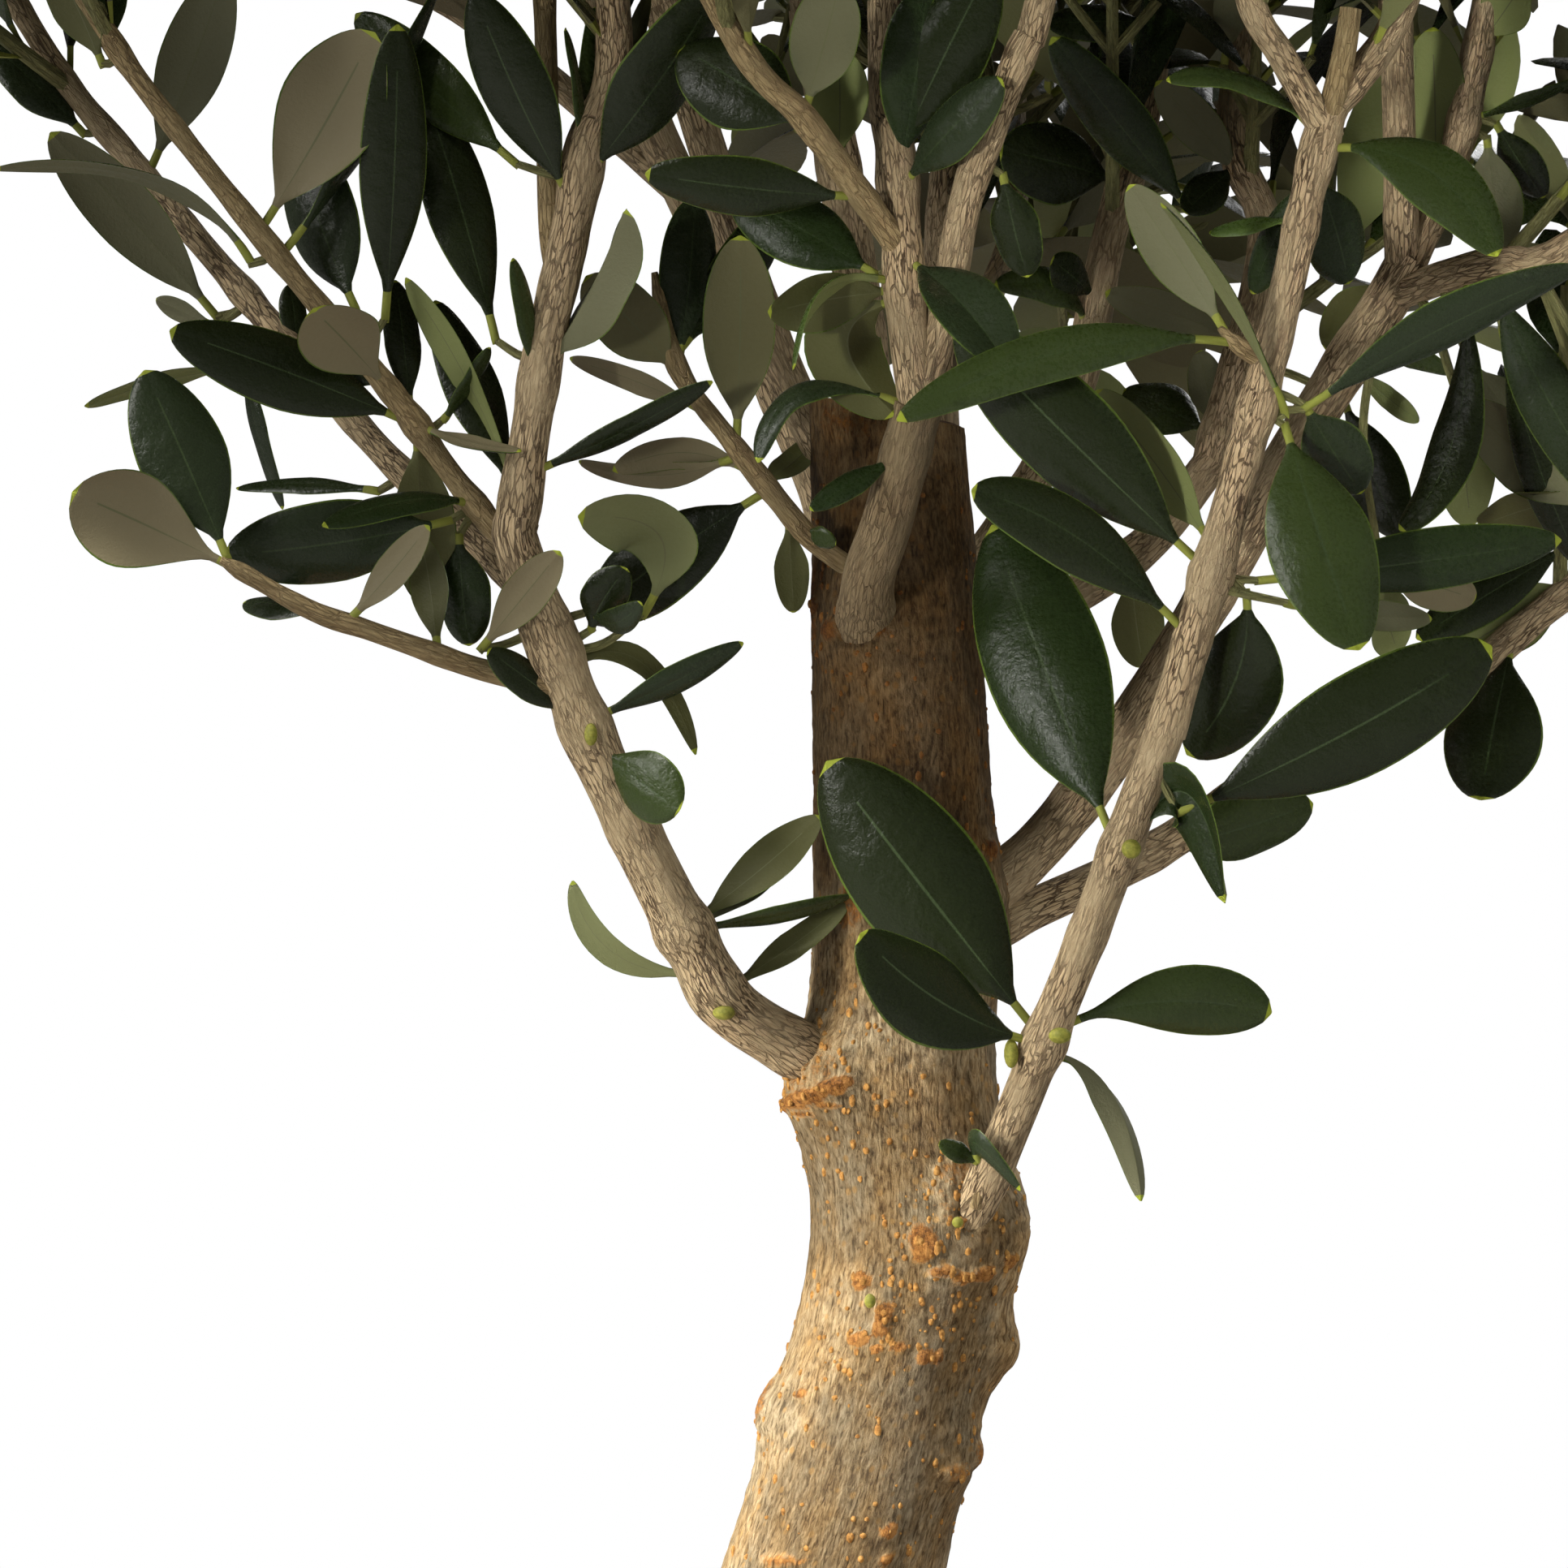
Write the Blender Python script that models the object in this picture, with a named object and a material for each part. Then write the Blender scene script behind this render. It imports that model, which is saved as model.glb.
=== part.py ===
"""A small olive tree grown as a standard in a plain clay pot: pot, potting soil, trunk, boughs
and masses of foliage, each a closed solid of its own.

Metres, +Z up. The origin is the centre of the pot's flat underside, and -Y is the front.
"""

import math
import random
from collections import namedtuple

import bmesh
import bpy
import numpy as np
from mathutils.bvhtree import BVHTree

GAP = 0.0003  # clearance between pieces that touch

# Pot
POT_HEIGHT = 0.190
POT_FOOT_RADIUS = 0.078
POT_TOP_RADIUS = 0.104
POT_WALL = 0.008
POT_FLOOR = 0.010
RIM_HEIGHT = 0.034
RIM_PROUD = 0.007
EDGE_ROUND = 0.0025
POT_SIDES = 36

# Soil
SOIL_LEVEL = 0.170
SOIL_EDGE_DROP = 0.005
SOIL_FLAT_RADIUS = 0.058

# Trunk: height, sideways and depthwise place of its centre, and radius
TRUNK_STATIONS = (
    (SOIL_LEVEL + GAP, -0.0210, 0.0050, 0.0290),
    (0.1800, -0.0205, 0.0048, 0.0242),
    (0.1950, -0.0192, 0.0045, 0.0212),
    (0.2200, -0.0160, 0.0040, 0.0192),
    (0.2600, -0.0085, 0.0030, 0.0180),
    (0.3000, 0.0025, 0.0015, 0.0172),
    (0.3330, 0.0134, 0.0000, 0.0165),
    (0.3560, 0.0197, 0.0000, 0.0156),
    (0.3765, 0.0240, 0.0000, 0.0149),
    (0.3970, 0.0238, 0.0000, 0.0139),
    (0.4450, 0.0236, 0.0000, 0.0132),
    (0.4710, 0.0228, 0.0000, 0.0127),
    (0.5040, 0.0212, 0.0000, 0.0114),
)
TRUNK_CUT_SLOPE = -0.21  # rise of the sawn top for each metre towards +X
TRUNK_CUT_BLEND = 0.025
TRUNK_SIDES = 20
TRUNK_RINGS = 28
ROOT_LOBES = 5
ROOT_LOBE_DEPTH = 0.16
ROOT_LOBE_FADE = 0.014
ROOT_LOBE_TURN = 0.6

# Swellings of the trunk: bearing in degrees (0 is +X, 270 is the front), height, how far each stands
# out, and its reach
SWELLINGS = (
    (325.0, 0.3850, 0.0050, 0.0110),
    (205.0, 0.4040, 0.0035, 0.0110),
    (250.0, 0.4730, 0.0022, 0.0080),
    (10.0, 0.4290, 0.0025, 0.0110),
    (350.0, 0.3651, 0.0034, 0.0050),
    (332.0, 0.3490, 0.0022, 0.0060),
    (192.0, 0.3567, 0.0030, 0.0060),
)

# Boughs: the points that each passes, and its radius at foot and tip
BOUGHS = {
    "bough_left": (
        ((0.0173, -0.0040, 0.4036), (0.0000, -0.0135, 0.4150), (-0.0100, -0.0170, 0.4290),
         (-0.0215, -0.0210, 0.4540), (-0.0330, -0.0260, 0.4877)),
        (0.0045, 0.0039),
    ),
    "bough_right_front": (
        ((0.0300, -0.0060, 0.3790), (0.0386, -0.0200, 0.3974), (0.0444, -0.0280, 0.4124),
         (0.0514, -0.0340, 0.4302), (0.0618, -0.0400, 0.4580)),
        (0.0038, 0.0036),
    ),
    "bough_front": (
        ((0.0182, -0.0060, 0.4705), (0.0184, -0.0190, 0.4790), (0.0213, -0.0245, 0.4880),
         (0.0256, -0.0300, 0.5045)),
        (0.0045, 0.0038),
    ),
    "bough_right_rear": (
        ((0.0300, 0.0030, 0.4280), (0.0463, 0.0100, 0.4425), (0.0633, 0.0160, 0.4666),
         (0.0815, 0.0180, 0.4981), (0.0997, 0.0140, 0.5273)),
        (0.0038, 0.0034),
    ),
    "bough_right_far": (
        ((0.0290, 0.0060, 0.4225), (0.0417, 0.0090, 0.4298), (0.0610, 0.0220, 0.4388),
         (0.0832, 0.0320, 0.4534)),
        (0.0031, 0.0027),
    ),
    "bough_back_right": (
        ((0.0300, 0.0060, 0.4640), (0.0379, 0.0180, 0.4703), (0.0589, 0.0360, 0.4836),
         (0.0701, 0.0440, 0.4969)),
        (0.0031, 0.0028),
    ),
    "bough_back_upper": (
        ((0.0265, 0.0060, 0.4765), (0.0343, 0.0200, 0.4812), (0.0456, 0.0400, 0.4986),
         (0.0519, 0.0480, 0.5147)),
        (0.0032, 0.0028),
    ),
    "bough_back": (
        ((0.0240, 0.0060, 0.4560), (0.0262, 0.0260, 0.4720), (0.0285, 0.0430, 0.4960),
         (0.0300, 0.0580, 0.5270)),
        (0.0038, 0.0031),
    ),
    "bough_back_left": (
        ((0.0200, 0.0060, 0.4700), (0.0150, 0.0240, 0.4830), (0.0070, 0.0370, 0.5040),
         (-0.0160, 0.0540, 0.5530)),
        (0.0036, 0.0030),
    ),
    "bough_top": (
        ((0.0225, 0.0040, 0.4860), (0.0200, 0.0170, 0.4980), (0.0160, 0.0240, 0.5300),
         (0.0100, 0.0240, 0.5650)),
        (0.0036, 0.0032),
    ),
    "bough_top_left": (
        ((0.0180, 0.0030, 0.4890), (0.0085, 0.0110, 0.5050), (-0.0010, 0.0180, 0.5300),
         (-0.0120, 0.0230, 0.5650)),
        (0.0030, 0.0028),
    ),
}
BOUGH_SIDES = 7
BOUGH_STEP = 0.011
COLLAR_SWELL = 0.45  # how much thicker a bough is where it leaves the trunk
COLLAR_REACH = 0.016

# Crown: the closed shape that no leaf leaves
CROWN_CENTRE = (0.012, 0.000, 0.680)
CROWN_RADII = (0.234, 0.224, 0.262)
STEM_END = 0.80  # share of the way from the crown's centre to its skin where a stem ends

# Foliage: the points that the stem of each mass passes, from the bough or fork that carries it, its
# radius at the foot, the bearing and elevation in degrees at which it nears the crown's skin, and
# the size of its leaves. A stem that starts at a bough's tip carries that bough's line on.
Stem = namedtuple("Stem", "points foot_radius bearing elevation leaf_share", defaults=(None, None, 1.0))
STEMS = {
    "foliage_left_inner": Stem(
        ((-0.0330, -0.0260, 0.4877), (-0.0288, -0.0290, 0.5137), (-0.0190, -0.0300, 0.5633),
         (-0.0300, -0.0440, 0.6400)),
        0.0038, 214, 32,
    ),
    "foliage_left_outer": Stem(
        ((-0.0290, -0.0243, 0.4765), (-0.0422, -0.0220, 0.4937), (-0.0693, -0.0300, 0.5278),
         (-0.0973, -0.0380, 0.5653), (-0.1350, -0.0500, 0.6200)),
        0.0032, 196, 4,
    ),
    "foliage_left_rear": Stem(
        ((-0.0265, -0.0230, 0.4685), (-0.0451, 0.0000, 0.4905), (-0.0647, 0.0120, 0.5113),
         (-0.1073, 0.0360, 0.5630), (-0.1380, 0.0440, 0.6200)),
        0.0029, 165, 8,
    ),
    "foliage_left_low": Stem(
        ((-0.0250, -0.0222, 0.4610), (-0.0380, -0.0240, 0.4657), (-0.0551, -0.0300, 0.4716),
         (-0.0759, -0.0360, 0.4816)),
        0.0018, leaf_share=0.60,
    ),
    "foliage_shoot_left": Stem(
        ((0.0166, -0.0060, 0.4795), (0.0053, -0.0160, 0.4905), (-0.0013, -0.0190, 0.4987),
         (-0.0096, -0.0200, 0.5120), (-0.0130, -0.0190, 0.5260)),
        0.0018, leaf_share=0.45,
    ),
    "foliage_front_middle": Stem(
        ((0.0256, -0.0300, 0.5045), (0.0232, -0.0360, 0.5276), (0.0210, -0.0340, 0.5633),
         (0.0250, -0.0500, 0.6700)),
        0.0032, 280, 46,
    ),
    "foliage_front_left": Stem(
        ((0.0240, -0.0282, 0.4985), (0.0159, -0.0440, 0.5300), (-0.0029, -0.0570, 0.5597),
         (-0.0300, -0.0960, 0.6150)),
        0.0026, 246, 4,
    ),
    "foliage_front_right": Stem(
        ((0.0240, -0.0282, 0.4985), (0.0335, -0.0380, 0.5276), (0.0431, -0.0480, 0.5624),
         (0.0560, -0.0860, 0.6200)),
        0.0028, 288, 6,
    ),
    "foliage_right_front": Stem(
        ((0.0618, -0.0400, 0.4580), (0.0702, -0.0430, 0.4874), (0.0842, -0.0460, 0.5437),
         (0.1000, -0.0560, 0.5950)),
        0.0035, 322, 10,
    ),
    "foliage_right_rear": Stem(
        ((0.0997, 0.0140, 0.5273), (0.1056, 0.0160, 0.5416), (0.1109, 0.0200, 0.5660),
         (0.1240, 0.0200, 0.6400)),
        0.0033, 8, 30,
    ),
    "foliage_right_outer": Stem(
        ((0.0950, 0.0150, 0.5200), (0.1090, 0.0080, 0.5240), (0.1219, 0.0000, 0.5286),
         (0.1560, -0.0060, 0.5560)),
        0.0026, 354, -6,
    ),
    "foliage_right_low": Stem(
        ((0.0832, 0.0320, 0.4534), (0.1140, 0.0400, 0.4696), (0.1500, 0.0500, 0.5100)),
        0.0026, 22, -20,
    ),
    "foliage_back_right": Stem(
        ((0.0701, 0.0440, 0.4969), (0.0787, 0.0540, 0.5314), (0.0742, 0.0580, 0.5520),
         (0.0860, 0.0860, 0.6100)),
        0.0027, 52, 8,
    ),
    "foliage_back_upper": Stem(
        ((0.0519, 0.0480, 0.5147), (0.0550, 0.0520, 0.5308), (0.0632, 0.0600, 0.5681),
         (0.0680, 0.0540, 0.6700)),
        0.0027, 40, 48,
    ),
    "foliage_back": Stem(
        ((0.0300, 0.0580, 0.5270), (0.0320, 0.0840, 0.5700), (0.0260, 0.1150, 0.6250)),
        0.0030, 95, 12,
    ),
    "foliage_back_low": Stem(
        ((0.0293, 0.0500, 0.5100), (0.0400, 0.0800, 0.5300), (0.0420, 0.1150, 0.5500)),
        0.0024, 80, -24,
    ),
    "foliage_back_left": Stem(
        ((-0.0160, 0.0540, 0.5530), (-0.0400, 0.0780, 0.6050), (-0.0640, 0.0960, 0.6500)),
        0.0029, 132, 20,
    ),
    "foliage_back_left_low": Stem(
        ((-0.0090, 0.0495, 0.5380), (-0.0360, 0.0800, 0.5620), (-0.0700, 0.1000, 0.5850)),
        0.0024, 138, -16,
    ),
    "foliage_top": Stem(
        ((0.0100, 0.0240, 0.5650), (0.0040, 0.0280, 0.6400), (0.0060, 0.0180, 0.7400)),
        0.0031, 70, 84,
    ),
    "foliage_top_left": Stem(
        ((-0.0120, 0.0230, 0.5650), (-0.0400, 0.0260, 0.6400)),
        0.0027, 172, 50,
    ),
    "foliage_top_right": Stem(
        ((0.0980, 0.0143, 0.5245), (0.0960, 0.0000, 0.5700), (0.0900, -0.0120, 0.6400)),
        0.0026, 340, 52,
    ),
}
STEM_SIDES = 5
STEM_STEP = 0.032
STEM_TIP_RADIUS = 0.0013
STEM_BARE = 0.032  # the stem's foot bears no leaves of its own

# The rule that every mass grows by
SEED = 41
FIRST_TWIG = 0.020  # along the stem
TWIG_STEP = 0.046
TWIG_END_STEPS = 0.6  # the last twig stands this many steps short of the stem's tip
TWIG_LENGTH = 0.088
TWIG_TAPER = 0.40  # share of its length that a twig loses from the stem's foot to its tip
TWIG_ANGLE = math.radians(54)
TWIG_LIFT = 0.20  # how much a twig turns up from its angle with the stem
TWIG_RADII = (0.0020, 0.0014)
TWIG_CUTS = (1.0, 0.72, 0.48)  # shorter tries where the whole twig finds no room
LEAF_STEP = 0.030
LEAF_LENGTH = 0.074
LEAF_WIDTH = 0.030
LEAF_THICKNESS = 0.0018
LEAF_SPREAD = 0.14  # how much the length varies either way
LEAF_ANGLE = math.radians(50)
LEAF_BELLY = 0.48  # share of its length at which a leaf is widest
LEAF_UPTURN = 0.35  # how far its upper face turns to the sky
LEAF_SINK = 0.0006
LEAF_END_STEPS = 0.4  # the lowest pair stands this many steps up the twig
LEAF_TURNS = (0.0, 0.5, -0.5)  # other ways that a leaf without room is turned about its twig
SPACE_MARGIN = 0.0016  # from the next mass's space
LIMB_MARGIN = 0.0022
LINE_STEP = 0.004  # between the points of a line that distances are taken to
LOWEST_CLEARING = 0.360  # height below which the trunk is out of the foliage's reach
ROOT_SHARE = 0.14  # of a leaf or twig, from its root, that may touch what is beside it
JITTER = math.radians(16)

CURVE_STEPS = 16  # points of a smooth curve between two of those it passes
SHARP_EDGE = math.radians(40)

UP = np.array((0.0, 0.0, 1.0))
SIDEWAYS = np.array((1.0, 0.0, 0.0))


def clear_scene():
    for item in list(bpy.data.objects):
        bpy.data.objects.remove(item, do_unlink=True)


def plain_material(name, colour, roughness):
    material = bpy.data.materials.new(name)
    material.use_nodes = True
    shader = material.node_tree.nodes["Principled BSDF"]
    shader.inputs["Base Color"].default_value = (*colour, 1.0)
    shader.inputs["Roughness"].default_value = roughness
    shader.inputs["Metallic"].default_value = 0.0
    return material


def add_object(name, points, faces, material=None):
    mesh = bpy.data.meshes.new(name)
    mesh.from_pydata([tuple(p) for p in points], [], faces)
    mesh.update()
    item = bpy.data.objects.new(name, mesh)
    bpy.context.scene.collection.objects.link(item)
    if material:
        mesh.materials.append(material)
    return item


def shade_round(item):
    item.data.shade_smooth()
    item.data.set_sharp_from_angle(angle=SHARP_EDGE)
    return item


def unit(vector):
    return vector / np.linalg.norm(vector)


# Curves


def smooth_route(points, step):
    """Points at even steps on a smooth curve through the given points."""
    knots = [np.array(p, float) for p in points]
    ends = [2 * knots[0] - knots[1]] + knots + [2 * knots[-1] - knots[-2]]
    fine = []
    for a, b, c, d in zip(ends, ends[1:], ends[2:], ends[3:]):
        for t in np.linspace(0.0, 1.0, CURVE_STEPS, endpoint=False):
            fine.append(
                0.5 * (2 * b + (c - a) * t + (2 * a - 5 * b + 4 * c - d) * t**2
                       + (3 * b - a - 3 * c + d) * t**3)
            )
    fine.append(knots[-1])
    return evenly(np.array(fine), step)


def lengths_along(route):
    """The length of a route up to each of its points."""
    steps = np.linalg.norm(np.diff(route, axis=0), axis=1)
    return np.concatenate(([0.0], np.cumsum(steps)))


def evenly(fine, step):
    """The same line through points at about this step."""
    lengths = lengths_along(fine)
    count = max(2, round(lengths[-1] / step)) + 1
    wanted = np.linspace(0.0, lengths[-1], count)
    return np.stack([np.interp(wanted, lengths, fine[:, k]) for k in range(3)], axis=1)


def tangents(route):
    return np.array([unit(v) for v in np.gradient(route, axis=0)])


class Line:
    """A route that tells its place and directions at a length along it."""

    def __init__(self, route):
        self.route = route
        self.along = tangents(route)
        self.across = side_vectors(self.along)
        self.lengths = lengths_along(route)
        self.length = self.lengths[-1]

    def at(self, place):
        index = min(int(np.searchsorted(self.lengths, place)), len(self.route) - 1)
        point = np.array([np.interp(place, self.lengths, self.route[:, k]) for k in range(3)])
        return point, self.along[index], self.across[index]


def side_vectors(along):
    """Sideways vectors that don't twist, one for each point of a route."""
    steep = abs(along[0][2]) > 0.9
    side = unit(np.cross(along[0], SIDEWAYS if steep else UP))
    sides = []
    for t in along:
        side = unit(side - np.dot(side, t) * t)
        sides.append(side)
    return np.array(sides)


def tube_mesh(route, radii, sides):
    """Points and faces of a round-section tube with flat ends."""
    along = tangents(route)
    across = side_vectors(along)
    points = []
    for centre, t, u, radius in zip(route, along, across, radii):
        v = np.cross(t, u)
        for k in range(sides):
            angle = 2 * math.pi * k / sides
            points.append(centre + radius * (math.cos(angle) * u + math.sin(angle) * v))
    faces = ring_faces(len(route), sides)
    faces.append(tuple(reversed(range(sides))))
    faces.append(tuple(range((len(route) - 1) * sides, len(route) * sides)))
    return points, faces


def ring_faces(rings, sides):
    faces = []
    for ring in range(rings - 1):
        for k in range(sides):
            a = ring * sides + k
            b = ring * sides + (k + 1) % sides
            faces.append((a, b, b + sides, a + sides))
    return faces


# Pot and soil


def turned(name, profile, sides, material):
    """A solid of revolution. The profile's first and last points lie on the axis."""
    points = [(0.0, 0.0, profile[0][1])]
    for radius, height in profile[1:-1]:
        for k in range(sides):
            angle = 2 * math.pi * k / sides
            points.append((radius * math.cos(angle), radius * math.sin(angle), height))
    points.append((0.0, 0.0, profile[-1][1]))
    rings = len(profile) - 2
    faces = [tuple(i + 1 for i in face) for face in ring_faces(rings, sides)]
    last = 1 + (rings - 1) * sides
    for k in range(sides):
        following = (k + 1) % sides
        faces.append((0, 1 + following, 1 + k))
        faces.append((last + k, last + following, len(points) - 1))
    return shade_round(add_object(name, points, faces, material))


def pot_inner_radius(height):
    """Inside radius of the wall at a height."""
    share = (height - POT_FLOOR) / (POT_HEIGHT - POT_FLOOR)
    return POT_FOOT_RADIUS - POT_WALL + share * (POT_TOP_RADIUS - POT_FOOT_RADIUS)


def make_pot(material):
    under_rim = POT_HEIGHT - RIM_HEIGHT
    wall_there = POT_FOOT_RADIUS + (POT_TOP_RADIUS - POT_FOOT_RADIUS) * under_rim / POT_HEIGHT
    rim = POT_TOP_RADIUS + RIM_PROUD
    profile = (
        (0.0, 0.0),
        (POT_FOOT_RADIUS - EDGE_ROUND, 0.0),
        (POT_FOOT_RADIUS, EDGE_ROUND),
        (wall_there, under_rim),
        (rim - EDGE_ROUND, under_rim + EDGE_ROUND),
        (rim, POT_HEIGHT - 2 * EDGE_ROUND),
        (rim - EDGE_ROUND, POT_HEIGHT),
        (pot_inner_radius(POT_HEIGHT) + EDGE_ROUND, POT_HEIGHT),
        (pot_inner_radius(POT_HEIGHT - EDGE_ROUND), POT_HEIGHT - EDGE_ROUND),
        (pot_inner_radius(POT_FLOOR), POT_FLOOR),
        (0.0, POT_FLOOR),
    )
    return turned("pot", profile, POT_SIDES, material)


def make_soil(material):
    floor = POT_FLOOR + GAP
    edge = SOIL_LEVEL - SOIL_EDGE_DROP
    profile = (
        (0.0, floor),
        (pot_inner_radius(floor) - GAP, floor),
        (pot_inner_radius(edge) - GAP, edge),
        (SOIL_FLAT_RADIUS, SOIL_LEVEL),
        (0.0, SOIL_LEVEL),
    )
    return turned("soil", profile, POT_SIDES, material)


# Trunk


def trunk_at(height):
    """Centre and radius of the trunk at a height."""
    table = np.array(TRUNK_STATIONS)
    x, y, radius = (np.interp(height, table[:, 0], table[:, k]) for k in (1, 2, 3))
    return np.array((x, y, height)), radius


def trunk_surface(bearing, height, grow=0.0):
    """A point on the trunk's bark."""
    centre, radius = trunk_at(height)
    above = height - SOIL_LEVEL
    lobes = math.cos(ROOT_LOBES * bearing + ROOT_LOBE_TURN)
    radius *= 1 + ROOT_LOBE_DEPTH * lobes * math.exp(-above / ROOT_LOBE_FADE)
    for degrees, at_height, swell, reach in SWELLINGS:
        turn = math.remainder(bearing - math.radians(degrees), 2 * math.pi)
        apart = math.hypot(turn * radius, height - at_height)
        radius += swell * math.exp(-((apart / reach) ** 2))
    radius += grow
    point = centre + radius * np.array((math.cos(bearing), math.sin(bearing), 0.0))
    top = TRUNK_STATIONS[-1][0]
    blend = max(0.0, 1 - (top - height) / TRUNK_CUT_BLEND)
    point[2] += blend * TRUNK_CUT_SLOPE * (point[0] - centre[0])
    return point


def trunk_mesh(grow=0.0):
    bottom = TRUNK_STATIONS[0][0]
    top = TRUNK_STATIONS[-1][0]
    points = []
    for ring in range(TRUNK_RINGS):
        share = ring / (TRUNK_RINGS - 1)
        height = bottom + (top - bottom) * share
        for k in range(TRUNK_SIDES):
            points.append(trunk_surface(2 * math.pi * k / TRUNK_SIDES, height, grow))
    faces = ring_faces(TRUNK_RINGS, TRUNK_SIDES)
    faces.append(tuple(reversed(range(TRUNK_SIDES))))
    faces.append(tuple(range((TRUNK_RINGS - 1) * TRUNK_SIDES, TRUNK_RINGS * TRUNK_SIDES)))
    return points, faces


def make_trunk(material):
    return shade_round(add_object("trunk", *trunk_mesh(), material))


# Limbs and their cutters


def bough_radii(route, ends, grow=0.0):
    """Radii along a bough, with a collar where it leaves the trunk."""
    lengths = lengths_along(route)
    taper = np.interp(lengths, (0.0, lengths[-1]), ends)
    collar = 1 + COLLAR_SWELL * np.exp(-((lengths / COLLAR_REACH) ** 2))
    return taper * collar + grow


def cutter(name, points, faces):
    item = add_object(name, points, faces)
    item.hide_render = True
    item.display_type = "WIRE"
    return item


def cut_by(item, cutters):
    """Takes the cutters' room out of an object and keeps its largest body."""
    group = bpy.data.collections.new(item.name + "_cutters")
    for other in cutters:
        group.objects.link(other)
    apply_boolean(item, group, "DIFFERENCE")
    bpy.data.collections.remove(group)


def apply_boolean(item, group, operation):
    """Applies one Boolean with a whole collection and keeps the largest body."""
    modifier = item.modifiers.new(operation.lower(), "BOOLEAN")
    modifier.operation = operation
    modifier.operand_type = "COLLECTION"
    modifier.collection = group
    modifier.solver = "EXACT"
    bpy.context.view_layer.update()
    graph = bpy.context.evaluated_depsgraph_get()
    made = bpy.data.meshes.new_from_object(item.evaluated_get(graph))
    item.modifiers.clear()
    old = item.data
    item.data = made
    bpy.data.meshes.remove(old)
    keep_largest_body(item)


def keep_largest_body(item):
    """Drops loose scraps, and the inner walls of sealed hollows, which fills them."""
    mesh = bmesh.new()
    mesh.from_mesh(item.data)
    bodies = connected_bodies(mesh)
    bodies.sort(key=body_volume, reverse=True)
    for body in bodies[1:]:
        bmesh.ops.delete(mesh, geom=body, context="FACES")
    mesh.to_mesh(item.data)
    mesh.free()


def connected_bodies(mesh):
    seen = set()
    bodies = []
    for start in mesh.faces:
        if start in seen:
            continue
        seen.add(start)
        body = [start]
        for face in body:
            for edge in face.edges:
                for near in edge.link_faces:
                    if near not in seen:
                        seen.add(near)
                        body.append(near)
        bodies.append(body)
    return bodies


def body_volume(body):
    total = 0.0
    for face in body:
        corners = [v.co for v in face.verts]
        for b, c in zip(corners[1:], corners[2:]):
            total += corners[0].dot(b.cross(c)) / 6
    return total


def make_boughs(material, trunk_cutter):
    """Every bough, cut to sit on the trunk and clear of the boughs before it."""
    cutters = [trunk_cutter]
    routes = {}
    for name, (points, ends) in BOUGHS.items():
        route = smooth_route(points, BOUGH_STEP)
        item = add_object(name, *tube_mesh(route, bough_radii(route, ends), BOUGH_SIDES), material)
        cut_by(item, cutters)
        shade_round(item)
        grown = tube_mesh(route, bough_radii(route, ends, GAP), BOUGH_SIDES)
        cutters.append(cutter(name + "_cutter", *grown))
        routes[name] = (route, ends)
    return cutters, routes


# The space of each mass


def nearest(points, line):
    """Distance from each point to the nearest of a line's points."""
    return np.sqrt(((points[:, None, :] - line[None, :, :]) ** 2).sum(axis=2)).min(axis=1)


def in_crown(points):
    return ((((points - CROWN_CENTRE) / CROWN_RADII) ** 2).sum(axis=1) < 1.0).all()


def crown_point(bearing, elevation, share):
    """A point part of the way from the crown's centre to its skin."""
    bearing = math.radians(bearing)
    elevation = math.radians(elevation)
    level = math.cos(elevation)
    way = np.array((level * math.cos(bearing), level * math.sin(bearing), math.sin(elevation)))
    return np.array(CROWN_CENTRE) + share * way * CROWN_RADII


class Space:
    """The part of the crown that is nearer to one stem than to any other, and off the limbs."""

    def __init__(self, name, lines, limbs):
        self.own = lines[name]
        self.others = [line for other, line in lines.items() if other != name]
        self.limbs = limbs
        self.meshes = []

    def holds(self, points, margin):
        points = np.array(points)
        if not in_crown(points):
            return False
        own = nearest(points, self.own) + margin
        if any((nearest(points, line) < own).any() for line in self.others):
            return False
        return all((nearest(points, line) > radius + LIMB_MARGIN).all() for line, radius in self.limbs)

    def take(self, points, faces):
        """Keeps a mesh for what grows later to be clear of."""
        self.meshes.append(mesh_tree(points, faces))

    def is_clear(self, points, faces):
        tree = mesh_tree(points, faces)
        return not any(tree.overlap(other) for other in self.meshes)


def mesh_tree(points, faces):
    return BVHTree.FromPolygons([tuple(p) for p in points], faces)


def limb_lines(bough_routes):
    """The boughs and the trunk as lines of close points, each with its thickest radius."""
    lines = [(evenly(route, LINE_STEP), max(ends)) for route, ends in bough_routes.values()]
    heights = np.arange(LOWEST_CLEARING, TRUNK_STATIONS[-1][0], LINE_STEP)
    trunk = np.array([trunk_at(height)[0] for height in heights])
    lines.append((trunk, trunk_at(LOWEST_CLEARING)[1]))
    return lines


# Twigs and leaves


def turned_about(axis, vector, angle):
    """The vector turned about an axis that it is square to."""
    return math.cos(angle) * vector + math.sin(angle) * np.cross(axis, vector)


def leaf_mesh(root, way, face_way, length, width):
    """An eight-sided blade."""
    across = unit(np.cross(way, face_way))
    lift = np.cross(across, way)
    middle = root + LEAF_BELLY * length * way
    points = (
        root,
        middle + 0.5 * width * across,
        root + length * way,
        middle - 0.5 * width * across,
        middle + 0.5 * LEAF_THICKNESS * lift,
        middle - 0.5 * LEAF_THICKNESS * lift,
    )
    faces = []
    for k in range(4):
        faces.append((4, k, (k + 1) % 4))
        faces.append((5, (k + 1) % 4, k))
    return points, faces


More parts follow.
